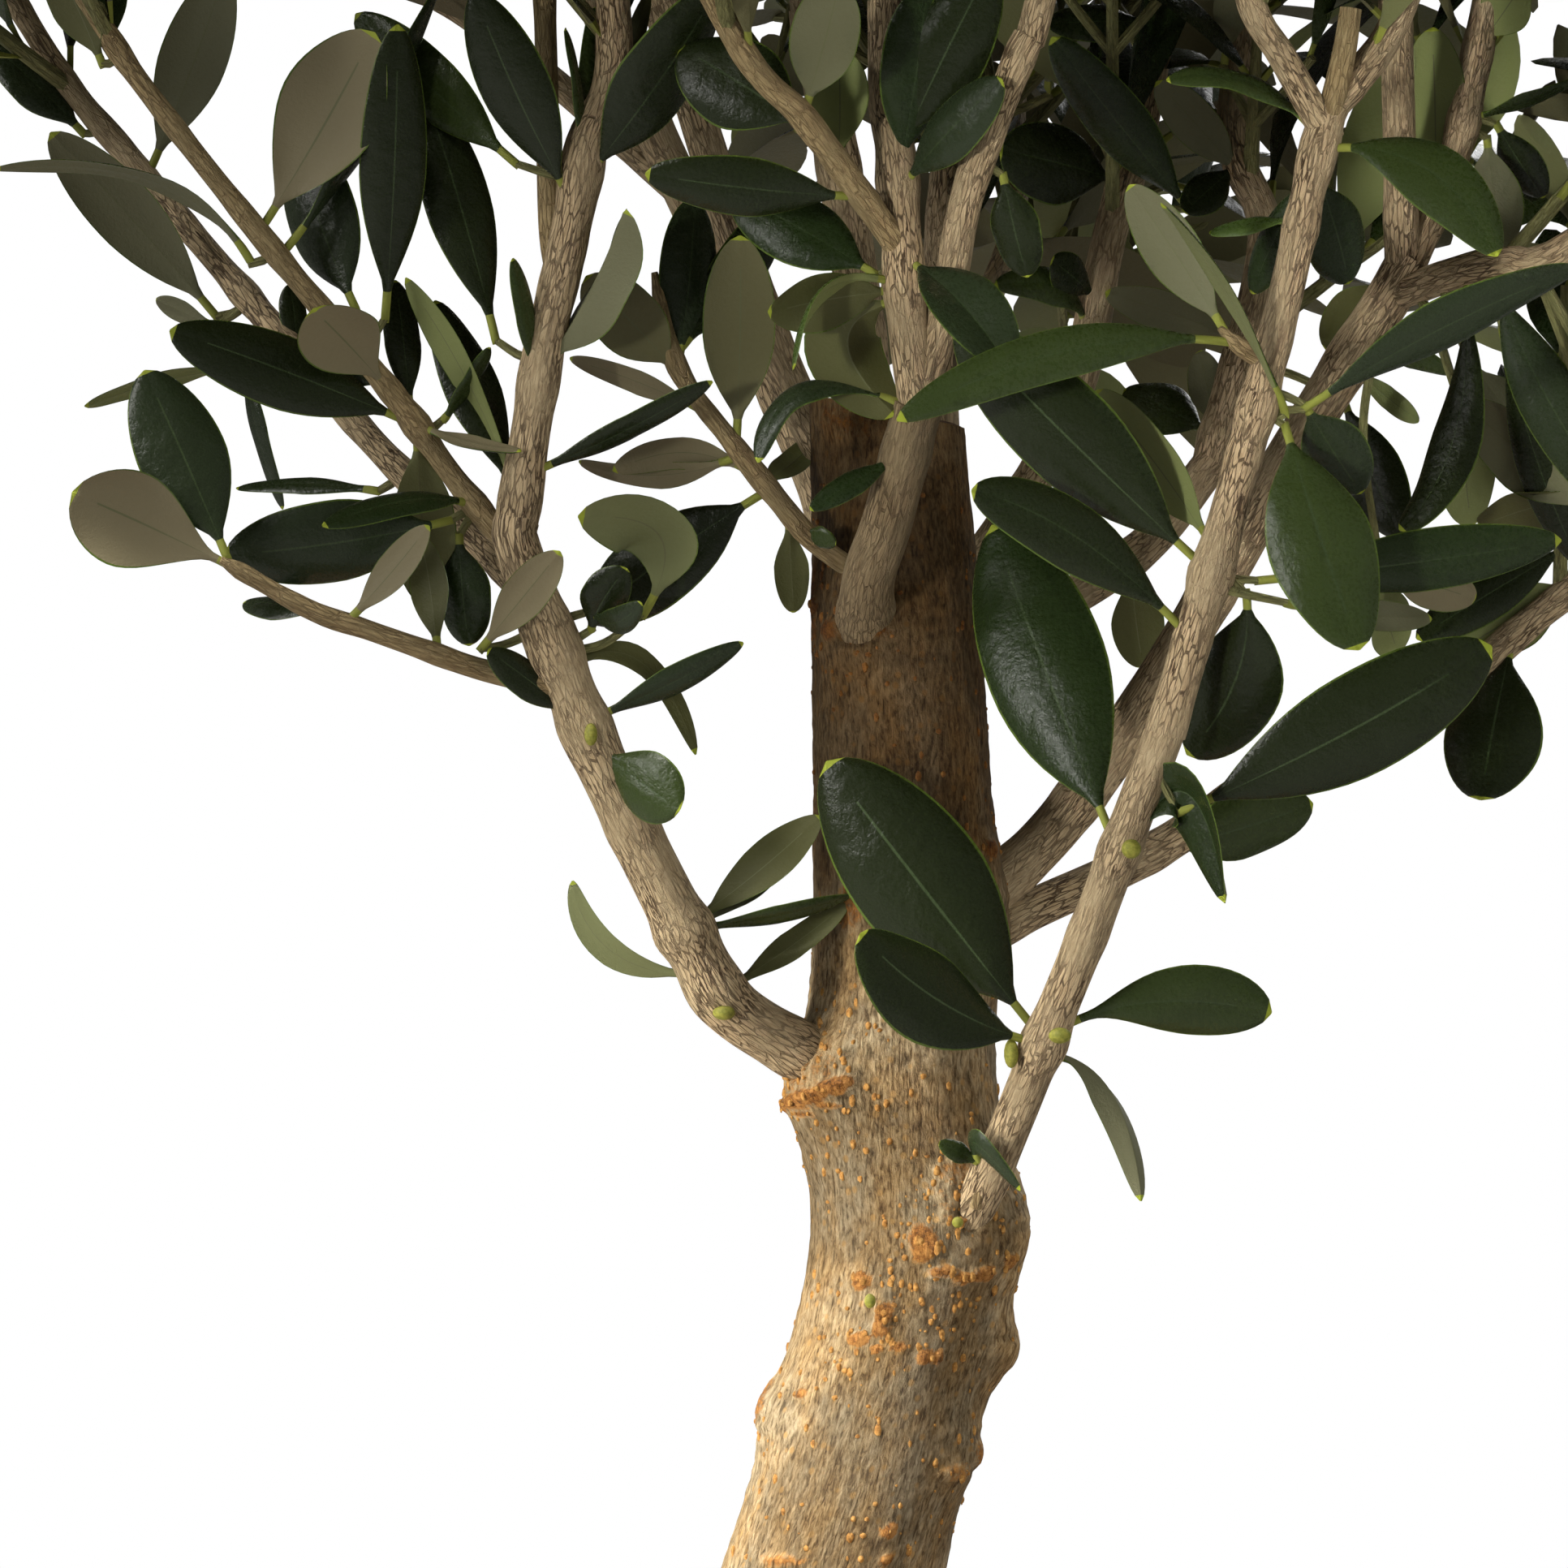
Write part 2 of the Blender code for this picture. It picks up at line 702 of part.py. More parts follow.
def leaf_samples(points):
    """Points of a leaf that have to lie in its mass's space."""
    root, left, tip, right = (np.array(p) for p in points[:4])
    rib = [root + share * (tip - root) for share in (0.2, 0.4, 0.6, 0.8, 1.0)]
    return rib + [left, right, (left + tip) / 2, (right + tip) / 2]


def place_leaf(root, along, side, size, chance, space):
    """One leaf at a node of a twig, turned a little about the twig until it finds room."""
    angle = LEAF_ANGLE + chance.uniform(-JITTER, JITTER)
    length = size * LEAF_LENGTH * (1 + chance.uniform(-LEAF_SPREAD, LEAF_SPREAD))
    for turn in LEAF_TURNS:
        way = unit(math.cos(angle) * along + math.sin(angle) * turned_about(along, side, turn))
        face_way = along + LEAF_UPTURN * UP
        points, faces = leaf_mesh(root - LEAF_SINK * way, way, face_way, length, size * LEAF_WIDTH)
        blade = (points[0] + ROOT_SHARE * length * way, *points[1:])
        if space.holds(leaf_samples(points), SPACE_MARGIN) and space.is_clear(blade, faces):
            space.take(blade, faces)
            return [(points, faces)]
    return []


def grow_leaves(twig, size, chance, space):
    """Opposite pairs of leaves down a twig from its tip, each turned a right angle from the last."""
    leaves = []
    turn = chance.uniform(0, math.pi)
    line = Line(twig)
    place = line.length - LEAF_SINK
    while place > LEAF_END_STEPS * size * LEAF_STEP:
        root, along, across = line.at(place)
        for half in (0.0, math.pi):
            side = turned_about(along, across, turn + half)
            leaves += place_leaf(root, along, side, size, chance, space)
        place -= size * LEAF_STEP
        turn += math.pi / 2 + chance.uniform(-JITTER, JITTER)
    return leaves


def grow_twig(start, way, reach, space):
    """One twig, shortened until it finds room."""
    for cut in TWIG_CUTS:
        ends = np.array((start, start + cut * reach * way))
        samples = evenly(ends, ROOT_SHARE * reach)[1:]
        outer = tube_mesh(np.array((samples[0], ends[1])), TWIG_RADII, 3)
        if space.holds(samples, SPACE_MARGIN + TWIG_RADII[0]) and space.is_clear(*outer):
            space.take(*outer)
            return [ends]
    return []


def grow_twigs(stem, size, chance, space):
    """Opposite pairs of twigs up the stem, each pair turned a right angle from the last."""
    twigs = []
    turn = chance.uniform(0, math.pi)
    line = Line(stem)
    place = FIRST_TWIG
    while place < line.length - TWIG_END_STEPS * size * TWIG_STEP:
        start, along, across = line.at(place)
        reach = size * TWIG_LENGTH * (1 - TWIG_TAPER * place / line.length)
        for half in (0.0, math.pi):
            side = turned_about(along, across, turn + half)
            way = math.cos(TWIG_ANGLE) * along + math.sin(TWIG_ANGLE) * side + TWIG_LIFT * UP
            twigs += grow_twig(start, unit(way), reach, space)
        place += size * TWIG_STEP
        turn += math.pi / 2 + chance.uniform(-JITTER, JITTER)
    return twigs


def grow_mass(stem, stem_mesh, size, chance, space):
    """The meshes of a mass's twigs and leaves, wherever its space has room for them."""
    twigs = grow_twigs(stem, size, chance, space)
    pieces = [tube_mesh(twig, TWIG_RADII, 3) for twig in twigs]
    space.take(*stem_mesh)
    leafy_stem = evenly(stem, LINE_STEP)[round(STEM_BARE / LINE_STEP) :]
    for twig in [leafy_stem, *twigs]:
        pieces += grow_leaves(twig, size, chance, space)
    return pieces


def join_pieces(item, pieces):
    """Unites every piece with the item in one Boolean on a collection."""
    group = bpy.data.collections.new(item.name + "_pieces")
    for points, faces in pieces:
        group.objects.link(add_object(item.name + "_piece", points, faces))
    apply_boolean(item, group, "UNION")
    for piece in list(group.objects):
        mesh = piece.data
        bpy.data.objects.remove(piece, do_unlink=True)
        bpy.data.meshes.remove(mesh)
    bpy.data.collections.remove(group)


def stem_route(stem):
    """The smooth line of a stem, from the gap that parts it from its bough to near the skin."""
    points = [np.array(p) for p in stem.points]
    points[0] = points[0] + GAP * unit(points[1] - points[0])
    if stem.bearing is not None:
        points.append(crown_point(stem.bearing, stem.elevation, STEM_END))
    return smooth_route(points, STEM_STEP)


def make_foliage(material, cutters, bough_routes):
    """Every mass of foliage, each in its own space."""
    routes = {name: stem_route(stem) for name, stem in STEMS.items()}
    lines = {name: evenly(route, LINE_STEP) for name, route in routes.items()}
    limbs = limb_lines(bough_routes)
    cutters = list(cutters)
    for number, (name, route) in enumerate(routes.items()):
        chance = random.Random(SEED + number)
        stem = STEMS[name]
        radii = np.linspace(stem.foot_radius, STEM_TIP_RADIUS, len(route))
        mesh = tube_mesh(route, radii, STEM_SIDES)
        item = add_object(name, *mesh)
        pieces = grow_mass(route, mesh, stem.leaf_share, chance, Space(name, lines, limbs))
        join_pieces(item, pieces)
        cut_by(item, cutters)
        item.data.materials.clear()
        item.data.materials.append(material)
        cutters.append(cutter(name + "_cutter", *tube_mesh(route, radii + GAP, STEM_SIDES)))


def build():
    clear_scene()
    clay = plain_material("clay", (0.42, 0.17, 0.09), 0.85)
    soil = plain_material("soil", (0.035, 0.022, 0.014), 0.95)
    bark = plain_material("bark", (0.27, 0.20, 0.12), 0.80)
    twig_bark = plain_material("bough_bark", (0.36, 0.26, 0.15), 0.75)
    leaf = plain_material("leaf", (0.035, 0.065, 0.022), 0.40)
    make_pot(clay)
    make_soil(soil)
    make_trunk(bark)
    trunk_cutter = cutter("trunk_cutter", *trunk_mesh(GAP))
    cutters, bough_routes = make_boughs(twig_bark, trunk_cutter)
    make_foliage(leaf, cutters, bough_routes)


build()
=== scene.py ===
"""The looks of a small potted olive tree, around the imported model: bark with its relief, boughs,
twigs and leaves, clay pot and potting soil.

Metres, +Z up, and -Y is the front. Limbs and foliage repeat the named sizes of the part's source and
grow by its rule, carried to finer twigs and to leaves of real size. What shows in the photograph is
placed by the pixel where it shows, in the photograph's frame of 1932 pixels a side.
"""

import math
import random
from collections import namedtuple
from itertools import combinations

import bpy
import numpy as np
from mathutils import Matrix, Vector


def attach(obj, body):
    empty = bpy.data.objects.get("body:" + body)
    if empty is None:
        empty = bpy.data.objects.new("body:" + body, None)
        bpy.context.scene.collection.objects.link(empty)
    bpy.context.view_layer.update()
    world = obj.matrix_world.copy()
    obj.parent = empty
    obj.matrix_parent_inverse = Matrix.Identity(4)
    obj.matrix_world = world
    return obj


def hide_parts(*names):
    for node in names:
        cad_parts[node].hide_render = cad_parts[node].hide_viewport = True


UP = np.array((0.0, 0.0, 1.0))
SIDEWAYS = np.array((1.0, 0.0, 0.0))
TOWARDS_CAMERA = np.array((0.0, -1.0, 0.0))
FULL_TURN = 2 * math.pi
WHITE = (1.0, 1.0, 1.0)

# The photograph's frame: its scale holds at the depth of the origin
PICTURE_SIDE = 1932
PICTURE_MIDDLE = PICTURE_SIDE / 2
PICTURE_MARGIN = 25
METRES_PER_PIXEL = 0.00012
CAMERA_DISTANCE = 2.2
CAMERA_X = 0.006
CAMERA_Z = 0.449
SENSOR_WIDTH = 36.0  # millimetres

# Lights: place, what each is aimed at, size, power, colour, how far it spreads in degrees, and whether
# it shows in gloss. The leaves' highlights come from the left alone.
Lamp = namedtuple("Lamp", "place aim size power colour spread glossy", defaults=(180, True))
LAMPS = {
    "key": Lamp((-1.12, -0.66, 2.55), (0.0, 0.0, 0.5), 0.8, 310.0, (1.0, 0.97, 0.92)),
    "rim": Lamp((0.8, 1.6, 1.6), (0.0, 0.0, 0.6), 1.0, 16.0, (1.0, 1.0, 1.0)),
    "low": Lamp((-0.46, -0.23, 0.31), (0.0, 0.0, 0.374), 0.12, 0.072, (1.0, 0.96, 0.9), 17, False),
    "high": Lamp((-0.5, -1.05, 0.53), (0.115, -0.02, 0.545), 0.2, 0.09, (1.0, 0.98, 0.95), 8, False),
    "fill": Lamp((2.05, -0.95, 0.9), (0.0, 0.0, 0.5), 1.6, 22.0, (1.0, 0.98, 0.95), 180, False),
    "front": Lamp((-1.83, -0.97, 1.25), (0.0, 0.0, 0.5), 0.7, 21.0, (1.0, 0.98, 0.95)),
}
WORLD_STRENGTH = 0.16
FLOOR_RADIUS = 3.0
FLOOR_SIDES = 96

# Pot and soil, as in the part's source
POT_HEIGHT = 0.190
POT_FOOT_RADIUS = 0.078
POT_TOP_RADIUS = 0.104
POT_WALL = 0.008
POT_FLOOR = 0.010
RIM_HEIGHT = 0.034
RIM_PROUD = 0.007
EDGE_ROUND = 0.0025
UNDER_RIM_ROUND = 0.0012
RIM_ROUND = 0.004
LIP_ROUND = 0.003
FLOOR_ROUND = 0.004
SOIL_LEVEL = 0.170
GAP = 0.0003

POT_SIDES = 132
POT_OUTLINE_STEP = 0.0036
POT_MIDDLE_HOLE = 0.004  # radius at which the pot's outline begins and ends
POT_CORNER_STEPS = 7
POT_UNEVEN = 0.0003
POT_RINGS = (0.06, 0.0045)  # how long and how high the marks of throwing are
POT_DENTS = (0.05, 0.05)
POT_STANDING = 0.003  # the wall below this height stays even
SOIL_RINGS = 60
SOIL_MIDDLE = 0.02
SOIL_RING_POWER = 0.8  # below one, so that the rings lie closer by the wall
SOIL_DROP = 0.0024
SOIL_ROUGHNESS = ((0.0016, 0.011), (0.0009, 0.0042))
MOUND = 0.0045
MOUND_REACH = 0.05
CRUMBS = 1400
CRUMB_SIZES = (0.0007, 0.0022)
LARGE_CRUMBS = (0.06, 1.9)  # the share of crumbs that are larger, and how many times
CRUMB_KINDS = (10, 4, 1)  # how many of each kind: soil, bark, white grains
CRUMB_SQUASH = ((0.6, 1.4), (0.5, 1.1), (0.4, 0.8))  # along X, Y and Z
CRUMB_UNEVEN = (0.75, 1.2)
CRUMB_RAISED = 0.3  # share of its size that a crumb's middle lies above the surface
WALL_MARGIN = 0.003

# Trunk: height, sideways and depthwise place of its centre, and radius
TRUNK_STATIONS = (
    (SOIL_LEVEL + GAP, -0.021, 0.005, 0.029),
    (0.18, -0.0205, 0.0048, 0.0242),
    (0.195, -0.0192, 0.0045, 0.0212),
    (0.22, -0.016, 0.004, 0.0192),
    (0.26, -0.0085, 0.003, 0.018),
    (0.3, 0.0025, 0.0015, 0.0172),
    (0.333, 0.0134, 0.0, 0.0165),
    (0.356, 0.0197, 0.0, 0.0156),
    (0.3765, 0.024, 0.0, 0.0149),
    (0.397, 0.0238, 0.0, 0.0139),
    (0.445, 0.0236, 0.0, 0.0132),
    (0.471, 0.0228, 0.0, 0.0127),
    (0.504, 0.0212, 0.0, 0.0114),
)
TRUNK_STEP = 0.002
TRUNK_FOOT = TRUNK_STATIONS[0][0]
TRUNK_TOP = TRUNK_STATIONS[-1][0]
TRUNK_CUT_SLOPE = -0.21
TRUNK_CUT_BLEND = 0.025
ROOT_LOBES = 5
ROOT_LOBE_DEPTH = 0.16
ROOT_LOBE_FADE = 0.014
ROOT_LOBE_TURN = 0.6

# Swellings of the trunk: bearing in degrees (270 is the front), height, how far each stands out, reach
SWELLINGS = (
    (325.0, 0.385, 0.005, 0.011),
    (203.0, 0.4025, 0.0038, 0.01),
    (250.0, 0.473, 0.0022, 0.008),
    (10.0, 0.429, 0.0025, 0.011),
    (350.0, 0.3651, 0.0034, 0.005),
    (222.0, 0.407, 0.0026, 0.0074),
    (332.0, 0.349, 0.0022, 0.006),
    (192.0, 0.3567, 0.002, 0.006),
)

# Boughs: the points that each passes, and its radius at foot and tip
BOUGHS = {
    "bough_left": (((0.0173, -0.004, 0.4036), (0.0101, -0.008, 0.4085), (-0.0019, -0.014, 0.4163),
        (-0.0078, -0.016, 0.4259), (-0.0173, -0.02, 0.445), (-0.0238, -0.022, 0.4592),
        (-0.0327, -0.026, 0.4829), (-0.033, -0.026, 0.4877)), (0.0045, 0.0033)),
    "bough_right_front": (((0.03, -0.006, 0.379), (0.0345, -0.014, 0.3877), (0.0386, -0.02, 0.3974),
        (0.0444, -0.028, 0.4124), (0.0514, -0.034, 0.4302), (0.0618, -0.04, 0.458)), (0.0031, 0.0029)),
    "bough_front": (((0.0182, -0.006, 0.4705), (0.0184, -0.019, 0.479), (0.0213, -0.0245, 0.488),
        (0.0256, -0.03, 0.5045)), (0.0041, 0.0035)),
    "bough_right_rear": (((0.03, 0.003, 0.428), (0.0463, 0.01, 0.4425), (0.0633, 0.016, 0.4666),
        (0.0815, 0.018, 0.4981), (0.0997, 0.014, 0.5273)), (0.0038, 0.0034)),
    "bough_right_far": (((0.029, 0.006, 0.4225), (0.0417, 0.009, 0.4298), (0.061, 0.022, 0.4388),
        (0.0832, 0.032, 0.4534)), (0.0031, 0.0027)),
    "bough_back_right": (((0.03, 0.006, 0.464), (0.0379, 0.018, 0.4703), (0.0589, 0.036, 0.4836),
        (0.0701, 0.044, 0.4969)), (0.0031, 0.0028)),
    "bough_back_upper": (((0.0265, 0.006, 0.4765), (0.0343, 0.02, 0.4812), (0.0456, 0.04, 0.4986),
        (0.0519, 0.048, 0.5147)), (0.0032, 0.0028)),
    "bough_back": (((0.024, 0.006, 0.456), (0.0262, 0.026, 0.472), (0.0285, 0.043, 0.496),
        (0.03, 0.058, 0.527)), (0.0038, 0.0031)),
    "bough_back_left": (((0.02, 0.006, 0.47), (0.015, 0.024, 0.483), (0.007, 0.037, 0.504),
        (-0.016, 0.054, 0.553)), (0.0036, 0.003)),
    "bough_top": (((0.0225, 0.004, 0.486), (0.02, 0.017, 0.498), (0.016, 0.024, 0.53),
        (0.01, 0.024, 0.565)), (0.0036, 0.0032)),
    "bough_top_left": (((0.018, 0.003, 0.489), (0.0085, 0.011, 0.505), (-0.001, 0.018, 0.53),
        (-0.012, 0.023, 0.565)), (0.003, 0.0028)),
}
COLLAR_SWELL = 0.22
COLLAR_REACH = 0.007

# Crown: the closed shape that no leaf leaves
CROWN_CENTRE = (0.012, 0.0, 0.68)
CROWN_RADII = (0.234, 0.224, 0.262)
STEM_END = 0.8

# Foliage: the points that the stem of each mass passes, its radius at the foot, and the bearing and
# elevation in degrees at which it nears the crown's skin
Stem = namedtuple("Stem", "points foot_radius bearing elevation", defaults=(None, None))
STEMS = {
    "foliage_left_inner": Stem(((-0.033, -0.026, 0.4877), (-0.0308, -0.028, 0.5018),
        (-0.0288, -0.029, 0.5137), (-0.0255, -0.03, 0.5278), (-0.0229, -0.03, 0.542),
        (-0.019, -0.03, 0.5633), (-0.03, -0.044, 0.64)), 0.003, 214, 32),
    "foliage_left_outer": Stem(((-0.0335, -0.025, 0.4829), (-0.0422, -0.022, 0.4937),
        (-0.0517, -0.025, 0.5067), (-0.0693, -0.03, 0.5278), (-0.0868, -0.036, 0.55),
        (-0.0973, -0.038, 0.5653), (-0.135, -0.05, 0.62)), 0.0017, 196, 4),
    "foliage_left_rear": Stem(((-0.029, -0.022, 0.4735), (-0.038, -0.008, 0.4835), (-0.0539, 0.005, 0.4986),
        (-0.0736, 0.018, 0.5211), (-0.0905, 0.028, 0.541), (-0.1073, 0.036, 0.563), (-0.138, 0.044, 0.62)),
        0.0022, 165, 8),
    "foliage_left_low": Stem(((-0.0265, -0.0232, 0.463), (-0.038, -0.024, 0.4657),
        (-0.0468, -0.028, 0.4687), (-0.0551, -0.03, 0.4716), (-0.0633, -0.032, 0.4745),
        (-0.0759, -0.036, 0.4816)), 0.0018),
    "foliage_shoot_left": Stem(((0.0166, -0.009, 0.4802), (0.0101, -0.013, 0.4849),
        (0.0053, -0.016, 0.4905), (-0.0013, -0.019, 0.4987), (-0.0096, -0.02, 0.5101),
        (-0.013, -0.019, 0.524)), 0.0016),
    "foliage_front_middle": Stem(((0.0256, -0.03, 0.5045), (0.024, -0.034, 0.5159),
        (0.0232, -0.036, 0.5276), (0.0224, -0.034, 0.5395), (0.021, -0.03, 0.5633), (0.025, -0.05, 0.67)),
        0.003, 280, 46),
    "foliage_front_left": Stem(((0.0234, -0.036, 0.526), (0.0159, -0.042, 0.5362), (0.0088, -0.048, 0.5454),
        (-0.0029, -0.056, 0.5597), (-0.03, -0.096, 0.615)), 0.002, 246, 4),
    "foliage_front_right": Stem(((0.0262, -0.031, 0.507), (0.0295, -0.034, 0.5182), (0.033, -0.038, 0.5358),
        (0.0406, -0.045, 0.5555), (0.0431, -0.048, 0.5624), (0.056, -0.086, 0.62)), 0.0026, 288, 6),
    "foliage_right_front": Stem(((0.0618, -0.04, 0.458), (0.0702, -0.043, 0.4874), (0.0776, -0.045, 0.5155),
        (0.0842, -0.046, 0.5437), (0.0888, -0.045, 0.5508), (0.0959, -0.043, 0.5627),
        (0.105, -0.056, 0.595)), 0.0029, 322, 10),
    "foliage_right_rear": Stem(((0.0997, 0.014, 0.5273), (0.1056, 0.016, 0.5416), (0.1109, 0.02, 0.566),
        (0.124, 0.02, 0.64)), 0.0024, 8, 30),
    "foliage_right_outer": Stem(((0.096, 0.0148, 0.5215), (0.1064, 0.008, 0.525), (0.1135, 0.004, 0.5264),
        (0.1219, 0.0, 0.5286), (0.156, -0.006, 0.556)), 0.0024, 354, -6),
    "foliage_right_low": Stem(((0.0832, 0.032, 0.4534), (0.098, 0.036, 0.4605), (0.114, 0.04, 0.4696),
        (0.15, 0.05, 0.51)), 0.0026, 22, -20),
    "foliage_back_right": Stem(((0.0701, 0.044, 0.4969), (0.0787, 0.054, 0.5314), (0.0742, 0.058, 0.552),
        (0.086, 0.086, 0.61)), 0.0027, 52, 8),
    "foliage_back_upper": Stem(((0.0519, 0.048, 0.5147), (0.055, 0.052, 0.5308), (0.0632, 0.06, 0.5681),
        (0.068, 0.054, 0.67)), 0.0027, 40, 48),
    "foliage_back": Stem(((0.03, 0.058, 0.527), (0.032, 0.084, 0.57), (0.026, 0.115, 0.625)), 0.003, 95,
        12),
    "foliage_back_low": Stem(((0.0293, 0.05, 0.51), (0.04, 0.08, 0.53), (0.042, 0.115, 0.55)), 0.0024, 80,
        -24),
    "foliage_back_left": Stem(((-0.016, 0.054, 0.553), (-0.04, 0.078, 0.605), (-0.064, 0.096, 0.65)),
        0.0029, 132, 20),
    "foliage_back_left_low": Stem(((-0.009, 0.0495, 0.538), (-0.036, 0.08, 0.562), (-0.07, 0.1, 0.585)),
        0.0024, 138, -16),
    "foliage_top": Stem(((0.01, 0.024, 0.565), (0.004, 0.028, 0.64), (0.006, 0.018, 0.74)), 0.0031, 70, 84),
    "foliage_top_left": Stem(((-0.012, 0.023, 0.565), (-0.04, 0.026, 0.64)), 0.0027, 172, 50),
    "foliage_top_right": Stem(((0.098, 0.0143, 0.5245), (0.096, 0.0, 0.57), (0.09, -0.012, 0.64)), 0.0026,
        340, 52),
}
STEM_TIP_RADIUS = 0.0011
STEM_BARE = 0.032

# Side shoots that show in the photograph: the mass that each belongs to, its points, and its radius
# at foot and tip
SHOOTS = {
    "left_twin": ("foliage_left_inner", ((-0.0268, -0.029, 0.5225), (-0.028, -0.0285, 0.53),
        (-0.0285, -0.027, 0.545), (-0.029, -0.025, 0.564), (-0.03, -0.02, 0.59), (-0.033, -0.015, 0.62)),
        (0.0019, 0.0012)),
    "right_fork": ("foliage_right_front", ((0.0842, -0.046, 0.5437), (0.078, -0.05, 0.5541),
        (0.0732, -0.054, 0.5621), (0.068, -0.062, 0.582), (0.064, -0.072, 0.605)), (0.0023, 0.0013)),
    "right_stub": ("foliage_right_front", ((0.0846, -0.046, 0.544), (0.0869, -0.048, 0.5542),
        (0.088, -0.048, 0.5612)), (0.002, 0.0016)),
    "right_side": ("foliage_right_front", ((0.0762, -0.045, 0.51), (0.0725, -0.046, 0.512),
        (0.069, -0.047, 0.515)), (0.0015, 0.001)),
    "right_bud": ("foliage_right_front", ((0.0345, -0.0175, 0.3885), (0.035, -0.0185, 0.391),
        (0.0346, -0.019, 0.3935)), (0.0009, 0.0006)),
}

# Whole numbers that mix a place into a value that looks random
LATTICE_FACTORS = (73856093, 19349663, 83492791)
LATTICE_MIX = 1274126177
LATTICE_TOP = 65535

# The rule that every mass grows by
SEED = 41
FIRST_TWIG = 0.02
TWIG_STEP = 0.026
TWIG_END_STEPS = 0.6
TWIG_LENGTH = 0.092
TWIG_TAPER = 0.4
TWIG_ANGLE = math.radians(50)
TWIG_LIFT = 0.26
TWIG_ARCH = 0.1
TWIG_RADII = (0.0013, 0.0007)
TWIG_CUTS = (1.0, 0.72, 0.48, 0.3)
TWIG_BARE = 0.006  # lengths without leaves at a twig's foot and at its tip
TIP_BARE = 0.0004
SHOOT_BARE = 0.3  # share of a side shoot's length that is without twigs
SPRIG_SIZE = 0.8  # the size of the twigs on a side shoot or on another twig
LEAF_STEP = 0.015
LEAF_LENGTH = 0.048
LEAF_WIDTH = 0.0132
LEAF_SPREAD = 0.2
LEAF_ANGLE = math.radians(50)
LEAF_UPTURN = 0.45
LEAF_CLEARANCE = 0.0032  # between the ribs of two leaves
LEAF_TURNS = (0.0, 0.5, -0.5)
SAMPLE_SHARES = np.array((0.35, 0.6, 0.85, 1.0))  # along a rib, where it has to be clear
SAMPLE_SIDE = 0.4  # the same to each side, as a share of the leaf's width
SAME_TINT = 0.7  # share of a twig's leaves that have one tint
LEAF_ROLL = 0.5  # how far a leaf turns about its rib, either way
LEAF_BOW = 0.13  # how far its rib arches and sways at most, in lengths of the leaf
LEAF_SWAY = 0.05
LEAF_TWIST = 35  # degrees, either way
LEAF_FOLDS = (-16, 12)  # degrees
LEAF_BELLIES = (0.44, 0.58)
LEAF_WAVES = (0.0, 0.08)  # height of a leaf's waves, how many radians of them it has, where they start
WAVE_TURNS = (6, 12)
WAVE_STARTS = (0, 6)
SHOWN_LEAF_TWIST = 14  # the same for the leaves that the photograph shows
SHOWN_LEAF_WAVES = (0.03, 0.12)
SHOWN_WAVE_TURNS = (7, 12)
LEAF_STEP_RANGE = (0.85, 1.2)  # random factors of the steps and lengths above
TWIG_STEP_RANGE = (0.85, 1.15)
TWIG_LENGTH_RANGE = (0.75, 1.1)
NODE_STEP_RANGE = (0.8, 1.2)
LIMB_MARGIN = 0.0018
LINE_STEP = 0.004
LOWEST_CLEARING = 0.36
JITTER = math.radians(18)
REAR_DEPTH = 0.026  # what grows by the rule and shows in the photograph lies behind this
SHOWN_SHARE = 0.56  # leaves nearer to the picture's middle than this share of its side are finer
CURVE_STEPS = 16
SHARP_EDGE = math.radians(50)

SPRAY_TINTS = {
    "deep": 3.0, "dark": 5.0, "green": 4.0, "fresh": 0.8, "grey": 2.0, "taupe": 1.0, "olive": 1.0,
}
YOUNG_LEAF = 0.45  # the size of the pair at a twig's tip, and how fast the pairs below it gain
YOUNG_GROWTH = 0.2
SPRIG_START = 0.35  # where a twig's own side twigs begin, and their share of its length
SPRIG_SHARE = 0.5
FREE_REACH = 0.01  # how far a leaf may reach into the next mass's space
CROWD_ROOM = 60000
FAR_OFF = 9.0  # where the crowd's unused points lie
CROWD_REACH = 0.035
STEM_ROUTE_STEP = 0.0016

# The mass that the leaves on a bough are joined with
BOUGH_MASSES = {
    "bough_left": "foliage_left_inner",
    "bough_front": "foliage_front_middle",
    "bough_right_front": "foliage_right_front",
    "bough_right_rear": "foliage_right_rear",
    "bough_right_far": "foliage_right_low",
    "bough_back_right": "foliage_back_right",
}

# The part of the photograph's frame that rear foliage fills, corner by corner, in its pixels
REAR_FOLIAGE = (
    (850, -60), (2000, -60), (2000, 660), (1790, 720), (1560, 700), (1500, 600), (1250, 560),
    (1180, 470), (1010, 470), (880, 330),
)

# Colours of a leaf's upper side and underside
TINTS = {
    "deep": ((0.0125, 0.018, 0.0055), (0.105, 0.096, 0.044)),
    "dark": ((0.016, 0.027, 0.0075), (0.125, 0.118, 0.054)),
    "green": ((0.029, 0.044, 0.011), (0.145, 0.152, 0.062)),
    "fresh": ((0.054, 0.085, 0.019), (0.185, 0.21, 0.075)),
    "grey": ((0.021, 0.031, 0.013), (0.13, 0.13, 0.07)),
    "taupe": ((0.017, 0.026, 0.01), (0.19, 0.163, 0.092)),
    "olive": ((0.026, 0.038, 0.009), (0.085, 0.086, 0.03)),
    "sage": ((0.018, 0.03, 0.01), (0.145, 0.158, 0.068)),
}

